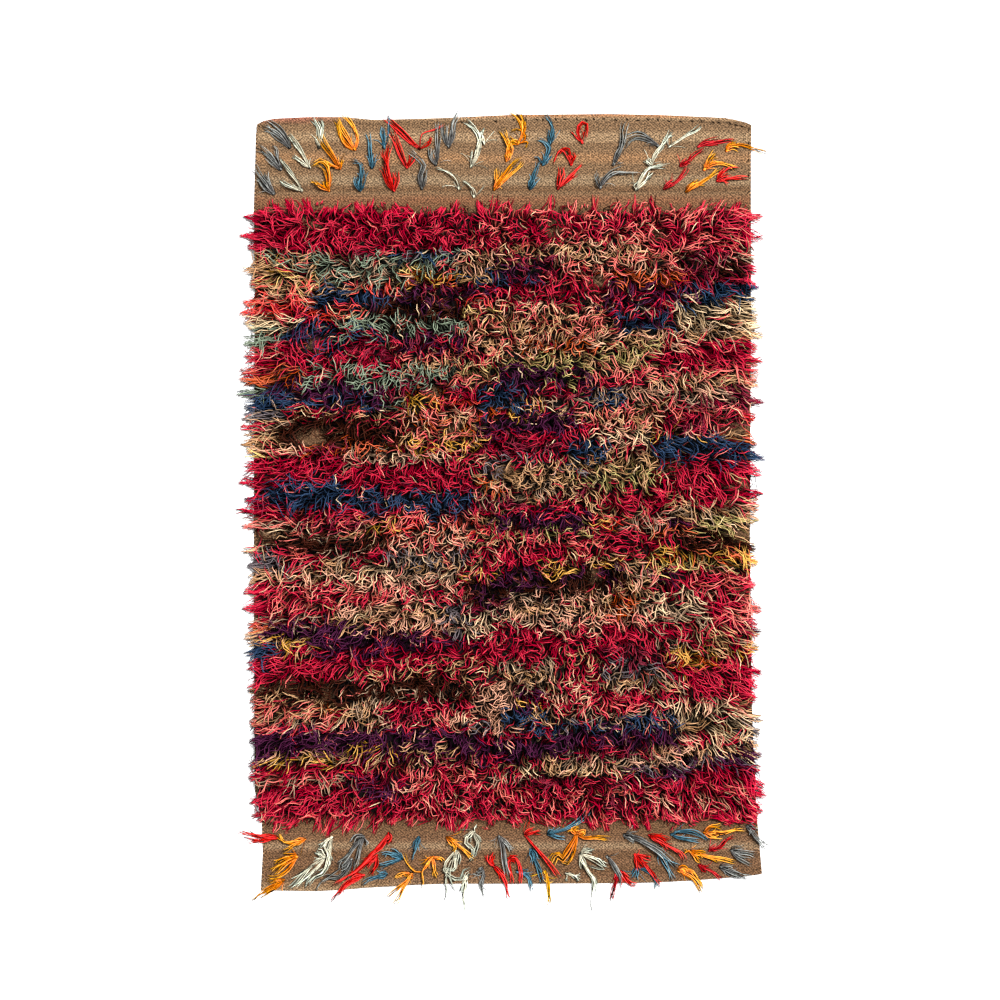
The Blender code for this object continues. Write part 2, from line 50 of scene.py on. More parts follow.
PIXEL = 1.0 / 495
GROUND_LEFT_PX = 254.0
GROUND_BOTTOM_PX = 889.0
GROUND_LOW, GROUND_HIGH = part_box("ground")
GROUND_TOP = 0.0025
HEM_TOP = 0.0038
HEM_DEPTH = 5.0

# The ground's four edges: along runs with the edge, across is where the edge lies there
LEFT_EDGE = (
    (124, 257.5), (135, 256), (160, 255.5), (209, 254), (300, 255), (560, 254), (790, 255),
    (822, 262), (853, 263), (889, 261),
)
RIGHT_EDGE = (
    (125, 751.5), (160, 751), (209, 751), (300, 751), (537, 750), (705, 752),
    (790, 755), (816, 757), (850, 760), (872, 762),
)
TOP_EDGE = (
    (258, 124), (268, 119), (310, 117), (345, 117), (375, 120), (444, 118), (509, 115),
    (607, 114), (661, 115), (727, 118), (744, 122), (751, 125),
)
BOTTOM_EDGE = (
    (261, 890), (312, 891), (340, 889.5), (362, 887.5), (392, 886), (412, 884.5), (440, 883.5),
    (510, 883.5), (600, 883), (640, 882.5), (680, 880.5), (712, 878), (740, 875.5), (762, 872),
)

# Wool colours as the eye reads them, red, green and blue out of 255
SHAG_WOOLS = {
    "crimson": (196, 0, 50),
    "coral": (240, 74, 62),
    "rust": (212, 92, 46),
    "ochre": (226, 166, 70),
    "yellow": (244, 204, 120),
    "olive": (180, 162, 98),
    "tan": (204, 154, 108),
    "taupe": (168, 136, 110),
    "sage": (136, 150, 126),
    "slate": (114, 103, 106),
    "blue": (50, 78, 110),
    "navy": (44, 66, 96),
    "purple": (80, 28, 62),
    "maroon": (132, 28, 52),
    "dark": (62, 26, 15),
    "cream": (238, 203, 158),
    "peach": (232, 168, 136),
    "salmon": (236, 112, 100),
}
# The tufts' roving, at its knot and at its tips
TUFT_WOOLS = {
    "grey": (98, 96, 94),
    "orange": (236, 118, 0),
    "bright_red": (206, 8, 2),
    "gold": (240, 160, 0),
    "dark_red": (176, 8, 22),
    "steel": (56, 98, 116),
    "white": (206, 198, 172),
}
TUFT_TIPS = {
    "grey": (160, 164, 158),
    "orange": (250, 176, 4),
    "bright_red": (230, 22, 6),
    "gold": (248, 200, 40),
    "dark_red": (206, 24, 32),
    "steel": (96, 142, 158),
    "white": (204, 216, 196),
}
SHAG_NAMES = tuple(SHAG_WOOLS)
TUFT_NAMES = tuple(TUFT_WOOLS)
# Each wool comes in five tones of painted light: the darkest are painted shade for yarn deep in the pile or
# under other yarns, the lightest a painted highlight, paler and a little less saturated.
TONES = 5
TONE_LIGHT = (0.02, 0.06, 0.32, 0.94, 1.75)
TONE_SATURATION = (1.05, 1.05, 1.04, 1.03, 0.96)

# The shag's colours by rows of knots: where a row lies, and each run's wools with the place where it ends.
# A line that starts with a space goes on from the one before, here and in the tufts.
SHAG_CHART = """
215 crimson:490 crimson+crimson+salmon:765
228 crimson:480 crimson+salmon:510 crimson:560 crimson+crimson+salmon:765
241 crimson:465 crimson+crimson+salmon:510 crimson:560 crimson+salmon:765
248 crimson:465 crimson+salmon:500 salmon+tan:545 tan+peach:640 crimson+salmon:765
258 sage+tan:335 taupe+maroon:362 sage:400 sage+slate+blue:455 tan+peach:500 tan+maroon:560 peach+tan:600
 tan+salmon:680 taupe+maroon:765
269 tan+ochre:292 sage+taupe:395 sage+yellow:420 peach+sage:455 tan+peach:498 purple+maroon:560
 peach+salmon:680 maroon+dark:765
280 tan+yellow:320 sage+peach:385 yellow+sage:402 ochre+rust:460 tan+navy:500 navy+purple+maroon:545
 crimson+salmon:605 rust:680 crimson+maroon:765
291 tan+coral:312 navy+tan:345 taupe+coral:400 maroon+purple:465 crimson+purple:500 crimson:605
 purple+maroon:690 blue:765
302 coral+peach:312 navy:372 navy+purple:400 dark+purple:462 coral+crimson:500 crimson+peach:605
 crimson+purple:675 cream+blue:720 cream:768
313 coral+crimson:330 tan+coral:372 dark:460 peach+yellow:500 salmon+peach+tan:612 navy+crimson:640
 crimson+taupe:682 cream:768
325 cream:302 crimson+navy:340 sage:395 dark+sage:415 sage:465 salmon+tan:620 navy+purple:672
 tan+cream:768
336 sage:282 navy+purple:322 sage+crimson+navy:400 sage+maroon+purple:465 salmon+peach+tan:600
 tan+peach:690 tan+taupe:768
348 crimson+salmon:300 navy+crimson:345 crimson+maroon:400 maroon+crimson+purple:465 tan+salmon:520
 rust+peach:600 tan+olive:662 peach+crimson:690 crimson:768
360 crimson:400 salmon+tan:470 tan+crimson:515 olive+tan:655 crimson:768
371 rust+crimson:300 crimson+sage:345 sage+crimson:400 tan+sage:455 olive+tan:500 olive+purple:590
 tan+salmon:660 crimson+salmon:768
382 rust:298 sage:400 sage+maroon:452 salmon+tan:500 purple:545 olive+purple:590 crimson+salmon:650
 peach+tan:768
393 sage+purple:265 purple:350 sage+purple:378 maroon:405 rust+maroon:450 maroon+crimson:480
 crimson+navy:500 navy+maroon:525 maroon+crimson:585 navy+taupe:625 peach+taupe:725 maroon:768
404 navy:292 navy+purple:378 taupe+sage:405 ochre+rust:440 coral+crimson:480 navy:528 ochre+tan:545
 taupe+crimson:590 navy+taupe:622 salmon+tan+taupe:680 taupe+maroon:768
415 slate+taupe:285 crimson+tan:400 peach+salmon:480 rust+crimson:510 ochre+maroon:535 purple+tan:575
 tan+salmon:660 crimson+salmon:768
426 tan+taupe:290 dark:345 dark+crimson:400 tan+salmon+rust:480 purple+maroon:520 purple:575
 crimson+salmon:600 peach+tan+salmon:660 crimson+maroon:768
437 tan:275 dark:300 peach+rust:322 dark:398 tan+salmon+ochre:480 purple+maroon:502 crimson:590
 peach+cream:655 ochre+peach:715 coral+tan:768
448 tan+peach:300 rust+maroon:338 dark+rust:385 ochre+salmon:480 crimson+maroon:568 navy:605
 crimson+peach:658 navy:768
459 tan+crimson:275 crimson:345 peach+taupe:440 crimson+peach:490 crimson+slate:560 navy+tan:592 tan:655
 navy+crimson:768
470 crimson:475 taupe+slate:510 tan+peach:560 tan+slate:600 tan+olive:655 crimson:768
481 crimson:300 navy+crimson:325 crimson:472 rust+tan:492 tan:570 tan+olive:660 crimson:722
 tan+crimson:750 crimson:768
492 navy:342 crimson+navy:385 crimson+maroon:475 rust+tan:498 peach+tan:512 taupe+tan:575 maroon+tan:600
 olive+crimson:650 crimson:768
503 maroon+navy:290 navy:470 maroon+taupe:520 tan+crimson:600 crimson:660 crimson+tan:768
513 crimson:362 maroon+navy:390 crimson+salmon:430 navy+maroon:468 crimson+tan:505 crimson:590
 crimson+tan:665 taupe+tan:768
524 taupe+salmon:300 salmon+maroon:365 ochre+salmon:400 coral+salmon:480 crimson+tan:502 purple:592
 ochre+coral:620 taupe+salmon:668 purple+maroon:700 olive+tan:768
535 tan+taupe:300 taupe+salmon:345 salmon+tan:385 coral+peach:480 tan+crimson:520 olive+tan+maroon:600
 crimson:645 tan+rust:690 tan+olive:768
543 dark:382 peach+salmon:470 crimson+tan:500 crimson+salmon:600 crimson:672 dark:768
557 slate:275 crimson+salmon:320 crimson+taupe:390 slate+taupe:470 crimson+peach:500 crimson:560
 crimson+tan:600 tan+crimson:655 yellow+ochre:675 rust+ochre:768
568 slate:285 taupe+crimson:320 tan+taupe:400 slate+tan:470 tan+crimson:505 crimson:542 ochre+tan:582
 dark+ochre:615 taupe+tan:652 olive+yellow:690 tan+olive:768
578 peach+tan:345 cream+peach:400 peach+taupe:462 crimson+ochre:500 dark+purple:540 ochre+dark:562
 dark+purple:628 tan+taupe:655 purple+maroon:680 crimson+salmon:768
589 peach+crimson:345 peach+salmon:400 peach+crimson:468 dark+purple:540 dark:608 tan+peach:655
 crimson+salmon:768
600 crimson+salmon:400 peach+crimson:470 dark+purple:498 taupe+peach:542 dark+taupe:570 peach+tan:610
 rust+tan:640 peach+cream:700 crimson+peach:768
611 salmon+crimson:330 peach+tan:445 slate:465 maroon+taupe:500 peach+tan:600 rust+peach:640
 cream+taupe:700 salmon+crimson:768
622 salmon+taupe:330 peach+tan:440 slate+taupe:465 peach+cream:500 peach+taupe:600 peach+salmon:660
 cream+taupe:710 salmon+crimson:768
632 purple:340 peach+purple:375 peach+salmon:445 taupe+slate:470 peach+cream:492 crimson:540
 crimson+peach:600 crimson:680 crimson+tan:768
643 tan+navy:265 ochre+tan:308 purple:420 purple+crimson:468 crimson:655 crimson+taupe:700 tan+crimson:768
654 navy+crimson:285 crimson+tan:310 crimson+purple:400 crimson:560 crimson+tan:600 maroon+crimson:668
 ochre+tan:738 crimson:768
665 crimson:400 crimson+tan:500 taupe+crimson:560 crimson+tan:600 maroon+slate:668 ochre+rust:715
 crimson:768
676 crimson:345 tan+crimson:500 tan+taupe:560 crimson+tan:600 slate+taupe:670 crimson:768
688 dark:345 dark+dark+taupe:400 dark:472 peach:515 taupe+tan:560 crimson+peach:600 taupe+tan:680
 crimson:768
697 tan:265 dark+tan:330 dark:360 dark+taupe:420 taupe+dark:450 crimson+dark:475 peach:515
 purple+maroon:538 crimson+peach:595 crimson:700 crimson+tan:768
708 tan+salmon:318 rust+tan:345 tan+taupe:385 crimson:470 peach:518 purple+ochre:540 peach+crimson:600
 crimson+salmon:660 peach+cream:768
719 tan+salmon+taupe:345 taupe+tan:385 crimson+maroon:430 salmon+peach:472 peach:503 navy:528 navy+tan:560
 crimson+taupe:600 navy+taupe:680 cream+tan:705 crimson+cream:730 cream+taupe:768
730 salmon+crimson+taupe:390 crimson+peach:470 slate+peach:520 crimson+navy:550 slate+navy:600
 navy+taupe+purple:680 cream+tan:768
741 purple:475 crimson+maroon:555 purple:680 tan+peach:698 crimson+peach:728 cream+tan:768
751 purple:300 purple+tan:350 ochre+purple:400 tan+purple:470 purple:570 crimson+maroon:650 peach+tan:705
 tan+cream:768
762 maroon:262 tan+ochre:345 maroon+tan:470 crimson+purple:520 tan+crimson:560 peach+taupe:690
 purple+slate:768
772 crimson:400 crimson+salmon:470 crimson+tan:525 tan+cream:632 purple+slate:690 crimson:768
782 taupe+salmon:345 purple+maroon:398 crimson+salmon:480 taupe+crimson:525 crimson+maroon:640 crimson:768
792 crimson:350 crimson+purple:400 crimson+crimson+peach:470 crimson+crimson+salmon:768
804 crimson+crimson+crimson+salmon:600 crimson+maroon:625 crimson+crimson+peach:768
816 crimson+crimson+crimson+salmon:500 crimson+crimson+salmon:768
"""
LEFT_RIM_COLOURS = (
    "crimson:256 tan:280 salmon:289 coral:317 cream:329 sage:348 crimson+salmon:376 rust:386 sage:396"
    " navy:411 slate:422 crimson:434 tan:452 yellow:459 crimson:521 salmon:538 crimson+cream:558"
    " slate:572 tan:584 crimson:623 rust:631 tan:643 navy:659 crimson:686 tan+taupe:698 salmon:736"
    " purple:767 crimson:780 taupe:793 crimson:840"
)
LEFT_RIM_END = 262
RIGHT_RIM_START = 746
RIGHT_RIM_COLOURS = (
    "crimson:249 taupe:266 crimson:286 blue:301 cream:330 tan:341 crimson:363 tan+salmon:388 maroon:406"
    " cream:412 coral:428 rust:446 navy:461 crimson:501 peach:519 olive+slate:534 dark:553 ochre:569"
    " cream:578 crimson:597 salmon:618 maroon:635 taupe:647 ochre:657 crimson:704 tan:722 slate:740"
    " tan:752 purple:765 crimson:840"
)

# Places where the ground shows through the pile: x, y, half width and half height
BARE_PATCHES = (
    (312, 437, 15, 7), (735, 431, 14, 7), (738, 486, 12, 6), (264, 535, 9, 5), (740, 536, 11, 5),
    (310, 222, 6, 5), (655, 236, 6, 6), (555, 228, 6, 6), (314, 345, 7, 6), (435, 393, 6, 5),
    (283, 375, 6, 5), (597, 284, 7, 6), (730, 315, 7, 5), (455, 430, 6, 5), (592, 575, 7, 5),
    (738, 590, 6, 5), (285, 683, 6, 5), (325, 696, 7, 5), (505, 470, 6, 5), (672, 468, 6, 5),
)

# Locks at the pile's sides: y, how far the tip goes past the ground's edge, and how far it leans along it
LEFT_LOCKS = (
    (219, 11, -3), (234, 15, 2), (247, 8, 2), (270, 14, 2), (284, 6, 2), (301, 12, 3),
    (313, 15, 2), (325, 11, 3), (341, 14, 2), (355, 11, 1), (368, 16, 1), (381, 15, 2),
    (393, 17, 0), (405, 13, 1), (417, 12, 0), (428, 13, 1), (442, 14, 0), (455, 10, 1),
    (467, 13, 0), (482, 15, 1), (500, 10, 0), (513, 19, 0), (526, 12, -1), (552, 12, 0),
    (566, 8, 1), (579, 6, 0), (593, 11, 0), (608, 12, 1), (625, 7, 0), (638, 11, 0),
    (651, 12, 1), (665, 10, 0), (688, 8, 1), (705, 5, 0), (722, 6, 0), (740, 6, 2), (763, 7, 1),
    (778, 7, 0), (802, 8, 1), (816, 10, 4),
)
RIGHT_LOCKS = (
    (219, 13, -2), (237, 14, 1), (257, 5, 1), (271, 6, 0), (286, 8, 1), (299, 6, 0), (314, 8, 1),
    (326, 10, 1), (337, 13, -1), (348, 8, 0), (361, 13, 1), (373, 9, 0), (385, 9, 1),
    (402, 13, 0), (418, 6, 0), (447, 7, 0), (459, 14, 1), (472, 13, 0), (496, 13, 1),
    (508, 11, 0), (520, 9, 1), (550, 7, 0), (562, 9, 1), (585, 6, 0), (609, 11, 0),
    (622, 7, 1), (634, 11, 0), (649, 8, 1), (674, 10, 0), (686, 8, 1), (698, 6, 0),
    (720, 10, 1), (731, 8, 2), (744, 7, 1), (756, 9, 2), (770, 7, 2), (783, 12, 2),
    (795, 12, 4), (808, 8, 5),
)
# Locks at the pile's ends: x, how far the tip goes past the pile's end, and how far it leans along it
TOP_LOCKS = (
    (263, 5, -3), (276, 8, -3), (288, 12, -4), (305, 13, -3), (327, 5, 3), (340, 10, 2),
    (358, 10, -3), (372, 12, 2), (394, 9, -3), (408, 7, -3), (443, 4, 3), (458, 10, 2),
    (480, 11, -2), (496, 15, 3), (510, 12, 2), (527, 9, 3), (550, 15, 2), (573, 15, 2),
    (595, 15, 2), (618, 16, 2), (636, 15, 1), (652, 15, -1), (688, 8, 3), (705, 10, 4),
    (723, 10, 4), (740, 10, 4),
)
BOTTOM_LOCKS = (
    (263, 3, -3), (275, 12, -4), (290, 10, -4), (316, 14, -2), (328, 17, -2), (343, 15, -3),
    (356, 13, -3), (373, 14, -3), (392, 6, -3), (411, 7, -3), (438, 11, -3), (452, 12, 2),
    (465, 13, -2), (492, 5, -1), (517, 9, 2), (532, 3, 2), (546, 7, 3), (558, 6, 2),
    (594, 10, 2), (606, 11, 2), (635, 10, 3), (650, 10, 3), (679, 4, 3), (692, 3, 3),
    (724, 3, 4), (735, 4, 4), (752, 3, 4),
)

# The shag
FIRST_KNOT_ROW_Y = 214
KNOT_ROW_PITCH = 18.8
KNOT_ROWS = 33
CLUMP_PITCH = 8.0
CLUMP_LIE = 9
STRANDS_PER_CLUMP = 4
STRAND_SPACING = 2.3
SHORTEST_STRAND = 13.0
RIM_STRAND_GAIN = 9
STRAND_LENGTHS = (1.0, 1.45)
CLUMP_TURN = 0.42
CLUMP_CURL = 1.8
CRIMPS = (0.3, 1.0)
CRIMP_WAVES = (9.0, 15.0)
COLOUR_SCATTER_X = 4.0
COLOUR_SCATTER_Y = 1.2
TONE_SCATTER = 0.25
STRANDS_PER_LOCK = 17
STATIONS = 6
STATION_STEPS = (0.0, 0.45, 0.85, 1.0, 1.0, 0.5)
SHORTEST_SHARE = 0.25
YARN_RADIUS = 0.00104
SHAG_ROOT = 0.0030
SHAG_BANDS = 5
LIFTS = (0.005, 0.025)
STRAY_SHARE = 0.13
STRAY_SHARE_IN_DARK = 0.07
STRAY_SHARE_IN_CRIMSON = 0.05
DARK_WOOL_RISE = 0.004
SWIRL = 1.7
SECOND_SWIRL = Vector((31.3, 17.7, 9.1))
COLOUR_SHARES = (0.5, 0.75)
FAVOURITE_SHARE = 0.62
GAP_CELL = 2.5
GAPS_LEFT_X = 256
GAPS_RIGHT_X = 750
GAP_STRANDS = 3
GAP_ROUNDS = 2
LIT_TONE = 2
TONE_STEPS = (-0.16, 0.12, 0.42, 0.74)
STRANDS_PER_END_LOCK = 12
TIPS_PER_LOCK = 3
TIP_REACHES = (0.85, 1.3)
TIP_SCATTER = (0.88, 1.12)
SIDE_LOCK_DEPTHS = (3, 34)
END_LOCK_DEPTHS = (1, 14)
LOCK_LIFTS = (0.006, 0.019)
RIM_SLOPE_PLACES = (240, 430, 640, 800)
RIM_SLOPES = {-1: (0.0, 0.05, 0.3, 0.45), 1: (0.25, 0.4, 0.45, 0.55)}
PILE_MIDDLE_X = 505.0
PILE_HALF_WIDTH = 250.0
PILE_TOP_Y = 211.0
PILE_BOTTOM_Y = 820.0
TRIANGLE_REACH = 0.87
# How high a strand may lie, by how far it is inside the rim
RIM_ROOM = (-12, -4, 0, 16)
HIGHEST_AT_RIM = (0.0035, 0.0060, 0.0110, 0.0280)
# How strongly the pile is combed towards the lower end, from its upper end down
COMBED_DOWN_PLACES = (250, 420, 640, 780, 815)
COMBED_DOWN = (0.15, 0.25, 0.8, 1.2, 1.8)


def srgb(colour):
    """A colour out of 255 as the renderer's linear red, green and blue."""
    shares = [value / 255 for value in colour]
    return tuple(
        share / 12.92 if share <= 0.04045 else ((share + 0.055) / 1.055) ** 2.4 for share in shares
    )


def rug_x(x):
    return GROUND_LOW[0] + (np.asarray(x, float) - GROUND_LEFT_PX) * PIXEL


def rug_y(y):
    return GROUND_LOW[1] + (GROUND_BOTTOM_PX - np.asarray(y, float)) * PIXEL


def edge_at(edge, along):
    """Where an edge lies at places along it, in pixels."""
    alongs, acrosses = zip(*edge)
    return np.interp(along, alongs, acrosses)


def side_room(x, y):
    """How far places are inside the ground's two sides, in pixels, and negative outside them."""
    return np.minimum(x - edge_at(LEFT_EDGE, y), edge_at(RIGHT_EDGE, y) - x)


def end_room(y):
    """How far places are inside the pile's two ends, in pixels, and negative outside them."""
    return np.minimum(y - PILE_TOP_Y, PILE_BOTTOM_Y - y)


def moved(x, y, angle, ahead, aside=0.0):
    """The place that lies a way ahead of a place and aside of it, for a strand combed at an angle."""
    along, across = math.cos(angle), math.sin(angle)
    return x - aside * across + ahead * along, y - aside * along - ahead * across


def unit(vectors):
    return vectors / np.maximum(np.linalg.norm(vectors, axis=-1, keepdims=True), 1e-9)


def smooth_step(low, high, value):
    share = np.clip((value - low) / (high - low), 0.0, 1.0)
    return share * share * (3 - 2 * share)


def lines_of(text):
    """A chart's lines, each joined with the ones that go on from it."""
    return text.strip().replace("\n ", " ").splitlines()


def wools_of(names):
    return [SHAG_NAMES.index(name) for name in names.split("+")]


def runs_of(text):
    """Colour runs from their text: each run's wool numbers and the place where it ends."""
    words = [word.split(":") for word in text.split()]
    return [(wools_of(names), float(end)) for names, end in words]


def colours_at(runs, place):
    for wools, end in runs:
        if place < end:
            return wools
    return runs[-1][0]


def link(obj):
    bpy.context.scene.collection.objects.link(obj)
    return obj


def mesh_object(name, points, faces_by_size, uvs_by_size):
    """A smooth mesh from arrays: one array of faces for each number of corners, and their corners' UVs."""
    mesh = bpy.data.meshes.new(name)
    corners = np.concatenate([faces.ravel() for faces in faces_by_size])
    sizes = np.concatenate([np.full(len(faces), faces.shape[1]) for faces in faces_by_size])
    starts = np.concatenate([[0], np.cumsum(sizes)[:-1]])
    mesh.vertices.add(len(points))
    mesh.vertices.foreach_set("co", np.ascontiguousarray(points, np.float32).ravel())
    mesh.loops.add(len(corners))
    mesh.loops.foreach_set("vertex_index", corners.astype(np.int32))
    mesh.polygons.add(len(sizes))
    mesh.polygons.foreach_set("loop_start", starts.astype(np.int32))
    mesh.update(calc_edges=True)
    mesh.polygons.foreach_set("use_smooth", np.ones(len(sizes), bool))
    layer = mesh.uv_layers.new(name="OFBake")
    uvs = np.concatenate([uv.reshape(-1, 2) for uv in uvs_by_size])
    layer.data.foreach_set("uv", uvs.astype(np.float32).ravel())
    mesh.validate()
    return link(bpy.data.objects.new(name, mesh))


# Where a yarn's ridge, flanks and underside lie in its strip of the map
RIDGE_V, FLANK_V, UNDER_V = 0.06, 0.62, 0.94


def tube_points(paths, radii):
    """The corners of three-sided yarns, ridge up: rings of three, and one point at the tip."""
    ahead = unit(np.gradient(paths, axis=1))
    side = unit(np.stack([-ahead[..., 1], ahead[..., 0], np.zeros_like(radii)], axis=2))
    up = np.cross(ahead, side)
    up = np.where(up[..., 2:] < 0, -up, up)
    radius = radii[..., None]
    low, aside = paths - up * radius / 2, side * radius * TRIANGLE_REACH
    rings = np.stack([paths + up * radius, low + aside, low - aside], axis=2)
    body = rings[:, :-1].reshape(len(paths), -1, 3)
    return np.concatenate([body, paths[:, -1:]], axis=1)


def tube_faces(stations):
    """One yarn's faces of three corners and of four, and where they lie in its strip of the map."""
    quads, quad_uvs, thirds, third_uvs = [], [], [], []
    u = np.linspace(0.01, 0.99, stations)
    around = ((0, 1, RIDGE_V, FLANK_V), (1, 2, FLANK_V, UNDER_V), (2, 0, FLANK_V, RIDGE_V))
    for ring in range(stations - 2):
        low, high = 3 * ring, 3 * ring + 3
        for a, b, v_a, v_b in around:
            quads.append((low + a, low + b, high + b, high + a))
            quad_uvs.append(((u[ring], v_a), (u[ring], v_b), (u[ring + 1], v_b), (u[ring + 1], v_a)))
    last = 3 * (stations - 2)
    for a, b, v_a, v_b in around:
        thirds.append((last + a, last + b, last + 3))
        third_uvs.append(((u[-2], v_a), (u[-2], v_b), (u[-1], (v_a + v_b) / 2)))
    thirds.append((2, 1, 0))
    third_uvs.append(((u[0], FLANK_V), (u[0] + 0.01, UNDER_V), (u[0], RIDGE_V)))
    return (np.array(thirds), np.array(third_uvs)), (np.array(quads), np.array(quad_uvs))


def tubes(name, paths, radii, bands, wools):
    """Yarns along paths of points. A band is a tone of one of a palette's wools, and a strip of the map."""
    count, stations = radii.shape
    points = tube_points(paths, radii)
    offsets = points.shape[1] * np.arange(count)
    faces, uvs = [], []
    for shape, shape_uvs in tube_faces(stations):
        faces.append((offsets[:, None, None] + shape[None]).reshape(-1, shape.shape[1]))
        spread = np.broadcast_to(shape_uvs[None], (count, *shape_uvs.shape)).copy()
        spread[..., 1] = (bands[:, None, None] + spread[..., 1]) / (wools * TONES)
        uvs.append(spread)
    return mesh_object(name, points.reshape(-1, 3), faces, uvs)


# The making of materials
class Nodes:
    """A small helper that adds nodes to a material and links them in one line."""

    def __init__(self, name):
        self.material = bpy.data.materials.new(name)
        self.material.use_nodes = True
        self.tree = self.material.node_tree
        self.shader = self.tree.nodes["Principled BSDF"]

    def add(self, kind, inputs=(), **settings):
        node = self.tree.nodes.new(kind)
        for key, value in settings.items():
            setattr(node, key, value)
        for key, value in dict(inputs).items():
            self.put(node.inputs[key], value)
        return node

    def put(self, socket, value):
        if isinstance(value, bpy.types.NodeSocket):
            self.tree.links.new(value, socket)
        else:
            socket.default_value = value

    def finish(self, name, value):
        """Set or link one of the shader's own sockets."""
        self.put(self.shader.inputs[name], value)

    def map_place(self):
        """The map's width and height at a place."""
        uv = self.add("ShaderNodeUVMap", uv_map="OFBake").outputs[0]
        return self.add("ShaderNodeSeparateXYZ", {0: uv}).outputs[:2]

    def noise(self, scale, detail=2.0, **place):
        return self.add("ShaderNodeTexNoise", {**place, "Scale": scale, "Detail": detail}).outputs[0]

    def bump(self, strength, distance, height):
        bump = self.add("ShaderNodeBump", {"Strength": strength, "Distance": distance, "Height": height})
        self.finish("Normal", bump.outputs[0])

    def math(self, operation, first, second=0.0):
        return self.add("ShaderNodeMath", {0: first, 1: second}, operation=operation).outputs[0]

    def plus(self, first, second):
        return self.math("ADD", first, second)

    def times(self, first, second):
        return self.math("MULTIPLY", first, second)

    def wave(self, place, scale=1.0):
        return self.math("SINE", self.times(place, scale))

    def mix(self, share, first, second, blend="MIX"):
        node = self.add("ShaderNodeMix", data_type="RGBA", blend_type=blend)
        self.put(node.inputs[0], share)
        self.put(node.inputs[6], first)
        self.put(node.inputs[7], second)
        return node.outputs[2]

    def darkened(self, first, second):
        return self.mix(1.0, first, second, "MULTIPLY")

    def ramp(self, value, stops, interpolation="LINEAR"):
        node = self.add("ShaderNodeValToRGB", {"Fac": value})
        ramp = node.color_ramp
        ramp.interpolation = interpolation
        while len(ramp.elements) < len(stops):
            ramp.elements.new(0.5)
        for element, (place, colour) in zip(ramp.elements, stops):
            element.position = place
            element.color = (*colour, 1.0) if len(colour) == 3 else colour
        return node.outputs[0]

    def tone_ramp(self, tone, levels):
        return self.grey_ramp(tone, [(index / (TONES - 1), level) for index, level in enumerate(levels)])

    def grey_ramp(self, value, stops):
        return self.ramp(value, [(place, (level, level, level)) for place, level in stops])


# Painted shade along and across a yarn: dark at its root deep in the pile and light towards its tip, lit on
# its ridge and shaded down its flanks to its underside
SHAG_ROOT_LIGHT = ((0.0, 0.02), (0.2, 0.12), (0.42, 0.62), (0.7, 1.0), (1.0, 1.0))
SHAG_SIDE_LIGHT = ((0.0, 1.0), (0.32, 0.85), (0.54, 0.06), (1.0, 0.01))
TUFT_ROOT_LIGHT = ((0.0, 0.5), (0.15, 0.85), (0.4, 1.0), (1.0, 1.0))
TUFT_SIDE_LIGHT = ((0.0, 1.0), (0.36, 0.85), (0.60, 0.14), (1.0, 0.04))
TIP_SHARE = ((0.25, 0.0), (0.9, 1.0))


def dyes(nodes, place, palette):
    stops = [(index / len(palette), srgb(colour)) for index, colour in enumerate(palette.values())]
    return nodes.ramp(place, stops, "CONSTANT")


def wool_material(name, palette, tips, twists, gloss, root_light, side_light):
    """Plied wool: the map's height picks the wool and its tone, and its width runs from root to tip."""
    nodes = Nodes(name)
    along, height = nodes.map_place()
    band = nodes.times(height, len(palette) * TONES)
    around = nodes.math("FRACT", band)
    tone = nodes.math("FLOOR", nodes.math("FLOORED_MODULO", band, TONES))
    tone = nodes.math("DIVIDE", tone, TONES - 1)
    wool = nodes.math("FLOOR", nodes.math("DIVIDE", band, TONES))
    place = nodes.math("DIVIDE", nodes.plus(wool, 0.5), len(palette))
    near_tip = nodes.grey_ramp(along, TIP_SHARE)
    faded = nodes.mix(near_tip, dyes(nodes, place, palette), dyes(nodes, place, tips))
    # The tone's painted light and shade: lighter and darker copies of each wool.
    levels = {"Saturation": TONE_SATURATION, "Value": TONE_LIGHT}
    ramps = {socket: nodes.tone_ramp(tone, level) for socket, level in levels.items()}
    toned = nodes.add("ShaderNodeHueSaturation", {**ramps, "Color": faded}).outputs[0]

    ply = nodes.wave(nodes.plus(nodes.times(along, twists), around), 2 * math.pi)
    # Painted shade: dark at the root and down the flanks to the underside, lit on the ridge, with faint
    # stripes of painted shade along the ply's twist.
    shade = nodes.darkened(nodes.grey_ramp(along, root_light), nodes.grey_ramp(around, side_light))
    shade = nodes.darkened(shade, nodes.plus(nodes.times(ply, 0.07), 0.93))
    nodes.finish("Base Color", nodes.darkened(toned, shade))
    nodes.bump(0.35, 0.0004, ply)
    nodes.finish("Roughness", nodes.plus(nodes.times(ply, 0.04), 0.82))
    nodes.finish("Specular IOR Level", gloss)
    return nodes.material


# The shag: how strands lie
Strand = namedtuple("Strand", "x y angle curl length lift crimp phase wave droop will wool tone")


def reach_past(locks, along, baseline):
    """How far the pile's rim reaches past its edge, from the locks along it, in pixels."""
    reach = np.full(np.shape(along), baseline, float)
    for place, lock_reach, _ in locks:
        bell = np.exp(-(((along - place) / 6.2) ** 4))
        reach = np.maximum(reach, baseline + (lock_reach - baseline) * bell)
    return reach


